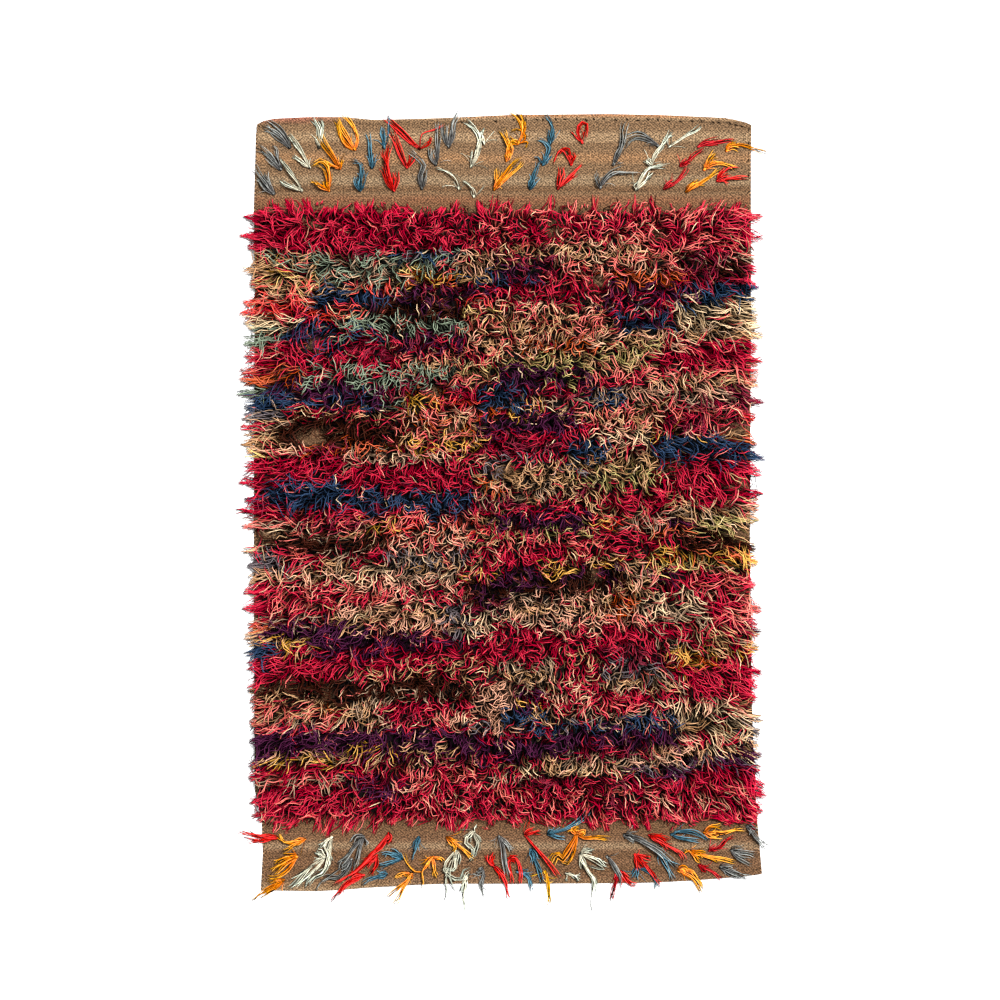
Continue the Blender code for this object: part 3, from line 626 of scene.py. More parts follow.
def shortened(x, y, will):
    """How much of its run each strand keeps, so that its tip stays within its share of the rim's reach."""
    def kept(run, overhang):
        return np.where(overhang > 0, 1.0 - overhang / np.maximum(run, overhang + 0.5), 1.0)

    tip_x, tip_y, root_x, root_y = x[:, -1:], y[:, -1:], x[:, :1], y[:, :1]
    low_x = edge_at(LEFT_EDGE, tip_y) - will * reach_past(LEFT_LOCKS, tip_y, 2.0)
    high_x = edge_at(RIGHT_EDGE, tip_y) + will * reach_past(RIGHT_LOCKS, tip_y, 2.0)
    low_y = PILE_TOP_Y - will * reach_past(TOP_LOCKS, tip_x, 1.0)
    high_y = PILE_BOTTOM_Y + will * reach_past(BOTTOM_LOCKS, tip_x, 1.5)
    share = kept(root_x - tip_x, low_x - tip_x)
    for run, overhang in (
        (tip_x - root_x, tip_x - high_x), (root_y - tip_y, low_y - tip_y), (tip_y - root_y, tip_y - high_y)
    ):
        share = np.minimum(share, kept(run, overhang))
    return np.maximum(share, SHORTEST_SHARE)


def comb(strands):
    """The centre lines of many strands at once, in metres, and their radii."""
    every = Strand(*(np.array(values)[:, None] for values in zip(*strands)))
    share = np.linspace(0.0, 1.0, STATIONS)[None]
    heading = every.angle + every.curl * (share - 0.2)
    heading = heading + every.crimp * np.sin(2 * math.pi * share * every.length / every.wave + every.phase)
    step = np.array([STATION_STEPS]) / sum(STATION_STEPS) * every.length
    x = every.x + np.cumsum(np.cos(heading) * step, axis=1)
    y = every.y - np.cumsum(np.sin(heading) * step, axis=1)

    kept = shortened(x, y, every.will)
    x = x[:, :1] + kept * (x - x[:, :1])
    y = y[:, :1] + kept * (y - y[:, :1])

    radii = YARN_RADIUS * (1.0 - 0.62 * smooth_step(0.55, 1.0, share)) * np.ones_like(x)
    z = SHAG_ROOT + (every.lift - SHAG_ROOT) * smooth_step(0.0, 0.38, share)
    z = z - every.droop * smooth_step(0.5, 1.0, share)
    to_side = side_room(x, y)
    most = np.interp(np.minimum(to_side, end_room(y)), RIM_ROOM, HIGHEST_AT_RIM)
    least = np.where(to_side > -2.0, GROUND_TOP + 0.0005, 0.0) + radii
    z = np.maximum(np.minimum(z, most), least)
    return np.stack([rug_x(x), rug_y(y), z], axis=2), radii


def rim_nearness(x):
    """From 0 along the rug's middle to 1 at its two sides."""
    return min(1.0, abs(x - PILE_MIDDLE_X) / PILE_HALF_WIDTH)


def swirl_at(x, y):
    """How far the combing strays sideways and upward at a place, in slow swirls."""
    place = Vector((x / 17, y / 14, 4.5))
    return SWIRL * noise.noise(place), SWIRL * noise.noise(place + SECOND_SWIRL)


def flow_at(x, y):
    """The direction in which the pile is combed: outward at the rims, and in swirls in the middle."""
    sideways = math.copysign(2.1 * rim_nearness(x) ** 1.6, x - PILE_MIDDLE_X)
    upward = 1.5 * float(smooth_step(246, 214, y))
    downward = float(np.interp(y, COMBED_DOWN_PLACES, COMBED_DOWN))
    downward += 0.7 * float(smooth_step(PILE_MIDDLE_X + 60, PILE_MIDDLE_X + PILE_HALF_WIDTH, x))
    swirl_x, swirl_y = swirl_at(x, y)
    return math.atan2(upward - downward + swirl_y, sideways + swirl_x)


def is_bare(x, y):
    return any(
        ((x - px) / (half_w + 2)) ** 2 + ((y - py) / (half_h + 3)) ** 2 < 1.0
        for px, py, half_w, half_h in BARE_PATCHES
    )


def shag_colour(x, y, rng):
    """The wools that a clump at this place is knotted from."""
    y = y + rng.normal(0.0, COLOUR_SCATTER_Y)
    x = x + rng.normal(0.0, COLOUR_SCATTER_X)
    if x < LEFT_RIM_END:
        return colours_at(LEFT_RIM, y)
    if x > RIGHT_RIM_START:
        return colours_at(RIGHT_RIM, y)
    row = min(SHAG_ROWS, key=lambda entry: abs(entry[0] - y))
    return colours_at(row[1], x)


SHAG_ROWS = [(int(y), runs_of(text)) for y, text in (line.split(" ", 1) for line in lines_of(SHAG_CHART))]
LEFT_RIM = runs_of(LEFT_RIM_COLOURS)
RIGHT_RIM = runs_of(RIGHT_RIM_COLOURS)
CRIMSON = SHAG_NAMES.index("crimson")
DARK_WOOLS = wools_of("navy+purple+dark+maroon+blue+sage")
DARKEST_WOOLS = wools_of("navy+purple+dark")
STRAY_WOOLS = wools_of("salmon+salmon+peach+crimson+crimson+cream")


def wools_along(x, y, length, angle, rng):
    """The wools under a strand's middle, or the ones near its tip where these are dark."""
    middle, tip = (shag_colour(*moved(x, y, angle, share * length), rng) for share in COLOUR_SHARES)
    return tip if all(wool in DARKEST_WOOLS for wool in tip) else middle


def clump(x, y, angle, layer, strands, rng):
    """Strands knotted side by side, and curled together. The layer is 0 at the bottom, and 1 on top."""
    side = rim_nearness(x) ** 2
    wild = 1.0 - 0.5 * side
    shortest = SHORTEST_STRAND + RIM_STRAND_GAIN * side
    angle = angle + rng.normal(0.0, CLUMP_TURN * wild)
    curl = rng.normal(0.0, CLUMP_CURL * wild)
    crimp = rng.uniform(*CRIMPS) * wild
    phase = rng.uniform(0.0, 2 * math.pi)
    wave = rng.uniform(*CRIMP_WAVES)
    lift = LIFTS[0] + (LIFTS[1] - LIFTS[0]) * layer
    favourite = rng.random()
    made = []
    for number in range(strands):
        aside = STRAND_SPACING * (number - (strands - 1) / 2) + rng.normal(0.0, 0.35)
        back = rng.normal(0.0, 1.6)
        root_x, root_y = moved(x, y, angle, back, aside)
        length = shortest * rng.uniform(*STRAND_LENGTHS)
        strand_lift = lift + rng.normal(0.0, 0.0016)
        wools = wools_along(root_x, root_y, length, angle, rng)
        choice = favourite if rng.random() < FAVOURITE_SHARE else rng.random()
        wool = strayed(wools[int(choice * len(wools))], rng)
        rise = DARK_WOOL_RISE if wool in DARK_WOOLS else 0.0
        made.append(Strand(
            root_x, root_y, angle + rng.normal(0.0, 0.10), curl + rng.normal(0.0, 0.22), length,
            strand_lift + rise, crimp * rng.uniform(0.8, 1.2), phase + rng.normal(0.0, 0.45), wave,
            rng.uniform(0.0, 0.006), rng.uniform(-0.3, 1.0), wool, tone_at(strand_lift, rng),
        ))
    return made


def strayed(wool, rng):
    """The wool itself or, now and then, one that has strayed in from another knot."""
    share = STRAY_SHARE_IN_CRIMSON if wool == CRIMSON else STRAY_SHARE
    share = STRAY_SHARE_IN_DARK if wool in DARK_WOOLS else share
    return STRAY_WOOLS[rng.integers(len(STRAY_WOOLS))] if rng.random() < share else wool


def tone_at(lift, rng):
    """Strands that lie deep in the pile are dark, and the ones on top catch the light."""
    share = (lift - LIFTS[0]) / (LIFTS[1] - LIFTS[0]) + rng.normal(0.0, TONE_SCATTER)
    return int(np.searchsorted(TONE_STEPS, share))


def row_strands(row, rng):
    """The strands of one row of knots, clump by clump, with the bare patches left free."""
    made = []
    row_y = FIRST_KNOT_ROW_Y + KNOT_ROW_PITCH * row
    x = float(edge_at(LEFT_EDGE, row_y)) + 4 + rng.uniform(0, 3)
    end = float(edge_at(RIGHT_EDGE, row_y)) - 4
    while x < end:
        y = row_y + rng.normal(0.0, 2.0) + 2.5 * noise.noise(Vector((x / 60, row * 3.3, 1.0)))
        angle = flow_at(x, y)
        if not is_bare(x, y) and not is_bare(*moved(x, y, angle, CLUMP_LIE)):
            root_x, root_y = x + rng.uniform(-4.0, 4.0), y + rng.uniform(-0.5, 0.5) * KNOT_ROW_PITCH
            made += clump(root_x, root_y, angle, rng.random(), STRANDS_PER_CLUMP, rng)
        x += CLUMP_PITCH * rng.uniform(0.8, 1.2)
    return made


def lock_tips(reach, lean, rng):
    """A lock's few tips: how far along the rim each one lies from the lock's root, and its reach."""
    return [
        (lean + rng.normal(0.0, 3.0), reach * rng.uniform(*TIP_REACHES)) for _ in range(TIPS_PER_LOCK)
    ]


def side_lock(lock, edge, outward, rng):
    """A lock that combs out over one of the pile's sides."""
    along, reach, lean = lock
    tips = lock_tips(reach, lean, rng)
    slope = np.interp(along, RIM_SLOPE_PLACES, RIM_SLOPES[outward])
    made = []
    for number in range(STRANDS_PER_LOCK):
        aside, tip_reach = tips[number % TIPS_PER_LOCK]
        depth = rng.uniform(*SIDE_LOCK_DEPTHS)
        tip_x = edge_at(edge, along) + outward * tip_reach * rng.uniform(*TIP_SCATTER)
        tip_y = along + aside + rng.normal(0.0, 0.9)
        root_x = edge_at(edge, along) - outward * depth
        root_y = along - slope * depth + rng.uniform(-6.5, 6.5)
        made.append(aimed(root_x, root_y, tip_x, tip_y, rng))
    return made


def end_lock(lock, rim, outward, rng):
    """A lock that combs out over the pile's upper or lower end."""
    along, reach, lean = lock
    tips = lock_tips(reach, lean, rng)
    made = []
    for number in range(STRANDS_PER_END_LOCK):
        aside, tip_reach = tips[number % TIPS_PER_LOCK]
        root_y = rim - outward * rng.uniform(*END_LOCK_DEPTHS)
        root_x = along - 2.2 * lean + rng.uniform(-6, 6)
        tip_y = rim + outward * tip_reach * rng.uniform(*TIP_SCATTER)
        tip_x = along + 1.5 * aside + rng.normal(0.0, 1.2)
        made.append(aimed(root_x, root_y, tip_x, tip_y, rng))
    return made


def rim_strands(rng):
    """The locks of the pile's four rims, each drawn together towards a few tips."""
    made = []
    for maker, locks, edge, outward in (
        (side_lock, LEFT_LOCKS, LEFT_EDGE, -1), (side_lock, RIGHT_LOCKS, RIGHT_EDGE, 1),
        (end_lock, TOP_LOCKS, PILE_TOP_Y, -1), (end_lock, BOTTOM_LOCKS, PILE_BOTTOM_Y, 1),
    ):
        for lock in locks:
            made += maker(lock, edge, outward, rng)
    return made


def cells_at(x, y):
    """The small square cells that places lie in."""
    return set(zip((np.ravel(x) // GAP_CELL).astype(int), (np.ravel(y) // GAP_CELL).astype(int)))


def cells_under(strands):
    """About which cells some new strands pass over."""
    share = np.arange(0.15, 1.01, 0.12)
    cells = set()
    for strand in strands:
        heading = strand.angle + strand.curl * (share / 2 - 0.2)
        x = strand.x + strand.length * share * np.cos(heading)
        cells |= cells_at(x, strand.y - strand.length * share * np.sin(heading))
    return cells


def cover_gaps(strands, rng):
    """More small clumps, laid over the places that no light strand passes yet."""
    paths, _ = comb([strand for strand in strands if strand.tone >= LIT_TONE])
    x = GROUND_LEFT_PX + (paths[:, 1:, 0] - GROUND_LOW[0]) / PIXEL
    y = GROUND_BOTTOM_PX - (paths[:, 1:, 1] - GROUND_LOW[1]) / PIXEL
    seen = cells_at(x, y) | cells_at((x[:, 1:] + x[:, :-1]) / 2, (y[:, 1:] + y[:, :-1]) / 2)
    across = range(int(GAPS_LEFT_X // GAP_CELL) + 1, int(GAPS_RIGHT_X // GAP_CELL))
    down = range(int(PILE_TOP_Y // GAP_CELL) + 1, int(PILE_BOTTOM_Y // GAP_CELL))
    cells = [(cell_x, cell_y) for cell_y in down for cell_x in across]
    made = []
    for number in rng.permutation(len(cells)):
        cell_x, cell_y = cells[number]
        x, y = (cell_x + 0.5) * GAP_CELL, (cell_y + 0.5) * GAP_CELL
        if cells[number] in seen or is_bare(x, y):
            continue
        angle = flow_at(x, y) + rng.normal(0.0, 0.4)
        root_x, root_y = moved(x, y, angle, -rng.uniform(5, 10))
        new = clump(root_x, root_y, angle, rng.random(), GAP_STRANDS, rng)
        seen |= cells_under([strand for strand in new if strand.tone >= LIT_TONE])
        made += new
    return made


def aimed(root_x, root_y, tip_x, tip_y, rng):
    """A strand that runs from its root towards a tip, with a slight wave."""
    length = math.hypot(tip_x - root_x, tip_y - root_y) * 1.03
    lift = rng.uniform(*LOCK_LIFTS)
    angle = math.atan2(root_y - tip_y, tip_x - root_x)
    wools = shag_colour((root_x + tip_x) / 2, (root_y + tip_y) / 2, rng)
    return Strand(
        root_x, root_y, angle + rng.normal(0.0, 0.06), rng.normal(0.0, 0.25), length,
        lift, rng.uniform(0.1, 0.35), rng.uniform(0.0, 2 * math.pi),
        rng.uniform(11.0, 18.0), rng.uniform(0.0, 0.004), 1.2,
        wools[rng.integers(len(wools))], tone_at(lift + 0.004, rng),
    )


def build_shag(material):
    rng = np.random.default_rng(SEED)
    strands = rim_strands(rng)
    for row in range(KNOT_ROWS):
        strands += row_strands(row, rng)
    for _ in range(GAP_ROUNDS):
        strands += cover_gaps(strands, rng)
    strands.sort(key=lambda strand: strand.y)
    share = math.ceil(len(strands) / SHAG_BANDS)
    for band in range(SHAG_BANDS):
        some = strands[band * share:(band + 1) * share]
        paths, radii = comb(some)
        numbers = np.array([strand.wool * TONES + strand.tone for strand in some])
        shag = tubes(f"shag_{band + 1}", paths, radii, numbers, len(SHAG_WOOLS))
        shag.data.materials.append(material)
        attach(shag, "root")
        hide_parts("pile")


# The tufts of the two end bands, a row of knots at a time: how high a row stands, and its tufts. A line is
# a wool, its knot, and each strand's run from the knot to its tip. A strand may start with thick or thin.
TUFT_ROWS = {
    "top_outer": (0.0050, """
grey 290,148 > thick 284,138 275,129 263,123 > 277,136 262,125 > thin 286,138 279,129 268,122
white 319,148 > 319,138 318,128 311,117 > 322,135 323,126 319,118
orange 355,150 > thick 348,140 341,127 336,117 > 358,139 352,125 342,112 > 345,145 340,133 338,121
steel 384,148 > 383,138 382,125 > thin 388,140 389,126 389,112
bright_red 420,149 > thick 412,143 400,131 382,115 > 427,145 431,140 430,136
 > thin 421,138 424,133 436,129 444,125
grey 449,147 > 445,137 446,122 > 453,136 454,122 461,108 > thin 450,136 452,124 458,112
white 484,144 > 482,137 481,131 > thin 481,136 485,127
orange 518,144 > 522,134 521,124 516,115 507,112 > 524,130 523,120 518,111 > thick 513,142 508,141
 > thin 526,139 523,131 514,130 511,135 > thin 528,142 524,149
steel 550,144 > thick 551,137 552,128 > 553,130 549,120 543,114
bright_red 582,143 > 578,134 579,126 584,122 587,126 585,135 582,141 > thin 576,137 570,130
grey 659,147 > 652,142 640,138 630,140 622,147 > thin 650,138 639,132 628,134 623,137
white 669,147 > 678,141 689,134 695,131 702,125 > thin 667,141 669,137 673,138
dark_red 698,147 > thick 706,143 722,142 > 714,143 728,140 737,142
orange 726,151 > thick 731,147 741,147 > 737,145 755,149 771,153 > 728,146 737,143
"""),
    "top_middle": (0.0078, """
grey 281,170 > thick 274,161 267,153 > 268,154 257,145 > thin 279,160 277,149 271,147
 > thin 271,160 261,150
white 310,168 > 301,151 293,140 287,133 > 302,163 293,154
orange 340,169 > thick 334,158 325,145 319,132 > 329,165 321,157 > 342,163 341,160
steel 372,168 > thick 372,161 371,154 > 370,144 367,131
bright_red 407,168 > thick 402,157 396,141 391,128 > thick 411,162 414,155
grey 436,165 > 438,152 438,138 438,121 > 431,157 432,147 > thin 431,160 428,150
white 471,167 > 478,155 480,140 474,129 463,119 > thin 479,141 484,127 > thin 471,159 473,150
orange 506,161 > thick 511,152 507,140 500,128 > 509,146 513,142 519,143 > thick 508,156 506,152
steel 543,165 > thick 546,160 548,154 > 549,150 546,144 541,140 535,140 > thin 538,158 533,159
bright_red 571,165 > thick 573,157 571,152 > 569,150 562,150 557,157 > thin 562,150 556,156 553,167
grey 613,165 > 617,156 622,147 623,136 > 620,150 623,138 623,129 626,120
white 651,165 > 654,156 661,148 667,138 673,131 > thin 662,146 667,134 > thick 648,162 646,159
dark_red 680,166 > thick 686,162 689,160 > 690,160 694,155 706,149
orange 704,170 > thick 710,158 716,152 > 714,164 725,164 737,170 > thin 713,162 727,166
bright_red 717,181 > thick 723,179 730,178 > 735,178 750,178 > 720,174 727,168 > thin 727,170 740,167
"""),
    "top_inner": (0.0105, """
grey 274,194 > thick 266,184 261,176 > 258,172 252,165 > 269,184 266,171 > thin 262,186 257,177
white 302,191 > 297,181 286,167 279,156 > 293,188 285,184 280,179
orange 329,191 > 330,177 327,165 319,161 310,168 > 321,187 310,179 > thick 326,185 325,180
 > thin 325,172 315,164
steel 360,191 > thick 363,182 363,170 > 362,166 358,162 349,160 > 356,184 357,176
bright_red 394,191 > thick 387,178 384,164 > 384,158 384,148 > 389,172 388,155 391,141
 > thick 396,179 395,170
grey 422,189 > 420,176 424,166 415,155 407,148 > 425,178 425,167
white 459,189 > thin 457,181 449,173 433,167
white 474,197 > thin 473,190 468,184 461,180
orange 494,190 > 496,179 498,167 > thick 500,182 507,172 > 512,165 522,157 > 512,174 519,166 523,160
steel 530,189 > thick 533,182 536,175 > 538,165 540,160
bright_red 558,189 > thick 561,176 561,165 > 567,180 576,171 583,164 > thin 568,182 578,174
grey 600,188 > 604,180 612,173 626,171 > thin 615,174 628,173 641,175 > 597,180 600,174
white 636,190 > 641,179 648,169 658,167 667,167 > 645,182 653,171 > thin 634,186 639,181
dark_red 664,189 > thick 670,184 675,182 > 679,180 685,172 687,165
orange 686,192 > thick 693,185 700,183 > 706,180 716,172 723,169 > 697,185 706,183
"""),
    "bottom_inner": (0.0105, """
bright_red 278,838 > thick 268,836 257,836 > 252,835 236,831 > 258,841 246,843 > thin 254,834 243,829
 > thin 262,840 241,836
orange 305,839 > thick 299,841 294,842 > 289,842 282,839 277,832 > 296,844 288,848 281,852
white 332,837 > 325,844 329,853 330,861 327,868 315,875 > 326,869 312,878 307,890 > 324,842 318,848
 > thin 327,850 335,860
grey 364,837 > thick 358,838 354,845 > 356,844 347,856 335,865 > 360,849 357,861 355,869
 > thin 368,842 365,846
bright_red 389,833 > thick 390,838 384,843 > 383,845 372,853 360,867 > 359,868 345,878 327,888
steel 419,837 > thick 417,843 414,851 > thin 415,851 412,862
orange 447,837 > thick 452,841 456,844 > 457,844 466,851 475,862 > 456,846 451,852
white 474,831 > 467,836 466,843 473,849 472,857 467,863 > 475,837 478,843 476,851 471,857
 > thick 470,835 466,841 > thin 479,837 483,842 > thin 475,828 477,824
grey 499,836 > 503,847 505,862 509,879 > 507,843 514,851 > thin 505,843 512,850
bright_red 525,835 > thick 529,831 533,832 > 534,832 542,832 > 532,843 541,854 552,867 562,879
steel 548,834 > thick 551,832 555,832 > 564,829 574,824 582,818 590,807 > 557,836 567,838
orange 577,834 > thick 573,829 580,826 > thick 584,831 579,836 > 585,838 598,836 611,840
 > 576,843 573,854 567,863 560,856 > thick 563,858 557,852 552,860 547,868 > thin 570,829 567,833
grey 624,835 > thick 630,836 637,838 > 637,838 652,846 660,852 > 652,845 669,859 681,868
 > thin 641,842 660,856 669,868 673,882
bright_red 649,835 > thick 661,841 672,849 > 672,848 682,855 684,863 > 661,836 671,840
 > thick 655,836 662,838
steel 671,834 > 679,831 693,831 703,836 710,842 > 678,837 689,839 701,840 > thin 676,832 684,831
orange 704,832 > thick 712,834 722,832 > 711,826 723,826 > 724,832 734,829 746,830 > thin 711,835 718,836
 > thin 728,831 739,824
grey 747,826 > thick 751,828 755,833 > 758,839 764,844 768,850 > thin 754,836 763,845
"""),
    "bottom_middle": (0.0078, """
orange 297,857 > thick 293,855 284,858 > 283,858 273,865 > thick 288,861 279,867 271,874
 > 291,866 284,873 276,878 265,877
white 325,857 > 314,864 303,875 294,884 285,890 > 316,869 302,880 292,888 > thick 320,853 315,850
 > thin 312,865 298,875 289,881 > thin 318,866 309,877 305,889
grey 352,859 > thick 345,864 345,870 > 341,876 328,877 320,884 > thick 348,868 341,874
 > thin 328,877 319,884 315,893
bright_red 377,855 > thick 371,861 365,866 > 366,864 358,869 350,875 > 376,865 369,876
steel 403,858 > thick 396,853 390,853 > 388,853 381,857 > 392,862 377,866
orange 433,857 > thick 428,861 424,868 > 441,858 443,862 > 434,866 436,879
 > thin 425,869 417,872 409,865 403,851 > thin 423,870 423,881 421,892
white 456,850 > thick 458,858 456,864 > 456,862 455,870 446,869 442,873
 > 446,862 444,870 450,876 460,880 464,871 472,868 > thin 446,874 447,892 444,902
 > thin 450,872 452,883 457,893
bright_red 494,866 > thick 490,861 488,853 > 491,860 495,852 > thick 499,871 504,879
 > 504,878 507,888 508,896 511,900
bright_red 514,856 > 509,861 509,867 512,877 513,887 > 518,861 521,871 519,886 > thick 511,858 518,860
steel 531,849 > thick 533,855 536,862 > 536,862 541,874 544,886
white 580,854 > 586,849 595,851 > 589,856 599,859 604,864 609,866 > thin 605,868 595,867 586,863
 > thick 582,861 586,869 > 587,870 594,878 595,886 592,894 > thin 593,880 592,894 592,902 593,914
grey 607,856 > 612,862 617,871 622,882 > thin 612,861 618,873 624,891
bright_red 635,854 > thick 641,862 646,867 > 651,871 657,880 663,888 > 645,856 652,859 > 636,864 638,872
steel 657,850 > 666,858 679,867 > 664,861 669,870 673,882 > thick 660,853 663,857
orange 690,851 > thick 699,853 706,856 > 683,851 > 712,857 726,859 738,862 > 697,858 702,862
 > thin 706,857 720,862
dark_red 709,850 > thick 713,848 718,847 > 719,847 726,840 735,835
grey 731,850 > thick 736,850 741,852 > 742,852 758,855 > 739,858 754,863 > thin 737,854 747,859
"""),
    "bottom_outer": (0.0050, """
orange 284,880 > thick 278,882 271,887 > 271,887 260,894 251,902 > 277,887 267,893 259,898
bright_red 364,875 > thick 355,876 348,881 > 347,882 339,892 329,905 > 357,880 344,887 341,895
steel 387,874 > thick 381,875 377,876 > 378,876 369,879 361,886
orange 412,873 > 406,873 399,875 394,880 > 409,878 400,887 384,899 > 407,882 400,896 393,907
 > thick 410,876 406,880
white 469,874 > 466,878 465,887 463,895 > thin 465,888 463,896 465,906 465,915
 > thin 467,877 462,886 459,894
grey 482,868 > thick 480,871 478,869 > 484,876 482,884 486,898 > thin 482,876 480,886
steel 517,871 > thick 521,872 527,875 > 528,876 531,884 533,893
gold 545,871 > 547,878 549,887 549,895 549,907 > thin 541,873 536,874 530,877
white 566,873 > 573,875 580,882 > thin 567,877 565,881
dark_red 616,874 > thick 617,877 616,881 > 616,881 613,892 611,903
bright_red 621,871 > thick 624,875 627,880 > 627,880 631,884 639,885
steel 636,868 > thick 635,873 633,878 > 645,869 653,875 656,883 656,891
orange 678,870 > 686,874 695,881 699,886 702,894 > 691,871 697,878 706,890 > thick 683,868 689,872
dark_red 699,865 > thick 704,868 708,870 > 709,870 716,874 723,880
grey 720,867 > thick 726,868 732,871 > 730,870 743,875 751,878 > 732,875 742,878
"""),
}

# How many yarns a strand is made of, and half its width
TUFT_YARNS = {"thick": 7, "normal": 5, "thin": 2}
TUFT_HALF_WIDTHS = {"thick": 3.3, "normal": 1.7, "thin": 0.4}
FLUFF = {"grey": 1.6, "steel": 1.2}
TUFT_YARN_RADIUS = 0.0011
TUFT_STATIONS = 9
# How far the yarn painted as a strand's shadow lies towards the lower left, in pixels
SHADOW_YARN_OFFSET = 0.9
SWAYS = (0.4, 1.6)
SWAY_TURNS = (5.0, 11.0)
WISP_THICKNESS = 0.55
WISP_LENGTHS = (8.0, 20.0)
WISPS_PER_TUFT = 4
# A strand's spread and its rise, each from the knot to the tip
TUFT_SPREAD = (0.0, 0.3, 0.75, 1.0), (0.35, 0.8, 1.05, 1.5)
TUFT_RISE = (0.0, 0.12, 0.35, 0.75, 1.0), (0.0, 0.6, 1.0, 0.8, 0.35)
# How high a tuft may lie, by how far it is inside the ground's outline
TUFT_HIGHEST = (-9.0, -2.0, 2.0), (0.0012, 0.0048, 0.05)
KNOT_LOOPS = 5
KNOT_HALF_LENGTH = 2.0
KNOT_HEIGHT = 0.0036
TuftYarn = namedtuple("TuftYarn", "x y z thickness tone")


def place_of(word):
    x, y = word.split(",")
    return float(x), float(y)


def smooth_run(places, count):
    """A smooth line through places, at evenly spread shares of its length."""
    places = np.array([places[0], *places, places[-1]], float)
    pieces = []
    for a, b, c, d in zip(places, places[1:], places[2:], places[3:]):
        t = np.linspace(0.0, 1.0, 8, endpoint=False)[:, None]
        bend = 2 * b + (c - a) * t + (2 * a - 5 * b + 4 * c - d) * t ** 2 + (3 * b - a - 3 * c + d) * t ** 3
        pieces.append(bend / 2)
    line = np.concatenate([*pieces, places[-1:]])
    lengths = np.concatenate([[0.0], np.cumsum(np.linalg.norm(np.diff(line, axis=0), axis=1))])
    wanted = np.linspace(0.0, lengths[-1], count)
    return np.stack([np.interp(wanted, lengths, line[:, axis]) for axis in (0, 1)], axis=1)


def room_inside(x, y):
    """How far places are inside the ground's outline, in pixels, and negative outside it."""
    ends = np.minimum(y - edge_at(TOP_EDGE, x), edge_at(BOTTOM_EDGE, x) - y)
    return np.minimum(side_room(x, y), ends)


def beside(line, offset):
    """The line moved sideways by an offset at each of its points."""
    ahead = unit(np.gradient(line, axis=0))
    return line[:, 0] - ahead[:, 1] * offset, line[:, 1] + ahead[:, 0] * offset


def tuft_strand(places, kind, width, height, rng):
    """A strand's yarns: gathered at the knot, side by side in the middle, and apart at their tips, with a
    dark yarn below painted as its shadow.
    """
    share = np.linspace(0.0, 1.0, TUFT_STATIONS)
    spread = np.interp(share, *TUFT_SPREAD) * width
    rise = np.interp(share, *TUFT_RISE)
    made = []
    for number in range(TUFT_YARNS[kind] + 1):
        is_wisp = number == TUFT_YARNS[kind]
        side = rng.uniform(-1.3, 1.3) if is_wisp else 2 * (number + 0.5) / TUFT_YARNS[kind] - 1
        side += rng.normal(0.0, 0.12)
        kept = rng.uniform(0.9, 1.2) if is_wisp else rng.uniform(0.82, 1.06)
        line = smooth_run([*places[:-1], stretched(places[-2], places[-1], kept)], TUFT_STATIONS)
        sway = rng.uniform(*SWAYS) * np.sin(share * rng.uniform(*SWAY_TURNS) + rng.uniform(0.0, 6.3)) * share
        x, y = beside(line, spread * side + sway)
        middle_rise = 0.0012 * (1.0 - abs(side))
        z = GROUND_TOP + rise * (height - GROUND_TOP + middle_rise)
        thickness = WISP_THICKNESS if is_wisp else rng.uniform(0.8, 1.1)
        # Yarns are lit and shaded in turn: painted light and painted shade in their tones.
        tone = rng.integers(3, TONES) if number % 2 == 0 else rng.integers(1, 3)
        made.append(TuftYarn(x, y, z, thickness, tone))
    # A dark yarn, lower down and to the lower left, painted in the darkest tone as the strand's shadow on
    # the cloth.
    line = smooth_run(places, TUFT_STATIONS)
    low = GROUND_TOP + 0.55 * rise * (height - GROUND_TOP)
    away = SHADOW_YARN_OFFSET + 0.3 * width
    made.append(TuftYarn(line[:, 0] - away * share, line[:, 1] + away * share, low, 1.0, 0))
    return made


def stretched(start, end, share):
    return start[0] + (end[0] - start[0]) * share, start[1] + (end[1] - start[1]) * share


def tuft_knot(x, y, toward, rng):
    """The knot: short loops that come up out of the weave and go down again, the hindmost in shade."""
    ahead = unit(np.array(toward) - (x, y))
    share = np.linspace(0.0, 1.0, TUFT_STATIONS)
    loops = []
    for loop in range(KNOT_LOOPS):
        aside, reach = 2.6 * (loop + 0.5) / KNOT_LOOPS - 1.3, KNOT_HALF_LENGTH * rng.uniform(0.8, 1.1)
        along = reach * (0.5 - np.cos(share * math.pi))
        px = x + ahead[0] * along - ahead[1] * aside
        py = y + ahead[1] * along + ahead[0] * aside
        z = GROUND_TOP + KNOT_HEIGHT * rng.uniform(0.7, 1.1) * np.sin(share * math.pi)
        tone = 0 if loop == 0 else rng.integers(1, TONES)
        loops.append(TuftYarn(px, py, z, 0.8, tone))
    return loops


def tuft_wisps(x, y, toward, height, rng):
    """Fine hairs that stray from a tuft on all sides of its own direction."""
    share = np.linspace(0.0, 1.0, TUFT_STATIONS)
    heading = math.atan2(toward[1] - y, toward[0] - x)
    made = []
    for _ in range(WISPS_PER_TUFT):
        turn = heading + rng.normal(0.0, 0.5) + rng.normal(0.0, 1.0) * share
        step = rng.uniform(*WISP_LENGTHS) / TUFT_STATIONS
        px = x + rng.normal(0.0, 1.0) + np.cumsum(np.cos(turn)) * step
        py = y + rng.normal(0.0, 1.0) + np.cumsum(np.sin(turn)) * step
        z = GROUND_TOP + np.sin(share * math.pi) * height * rng.uniform(0.3, 0.8)
        made.append(TuftYarn(px, py, z, WISP_THICKNESS, rng.integers(2, TONES)))
    return made


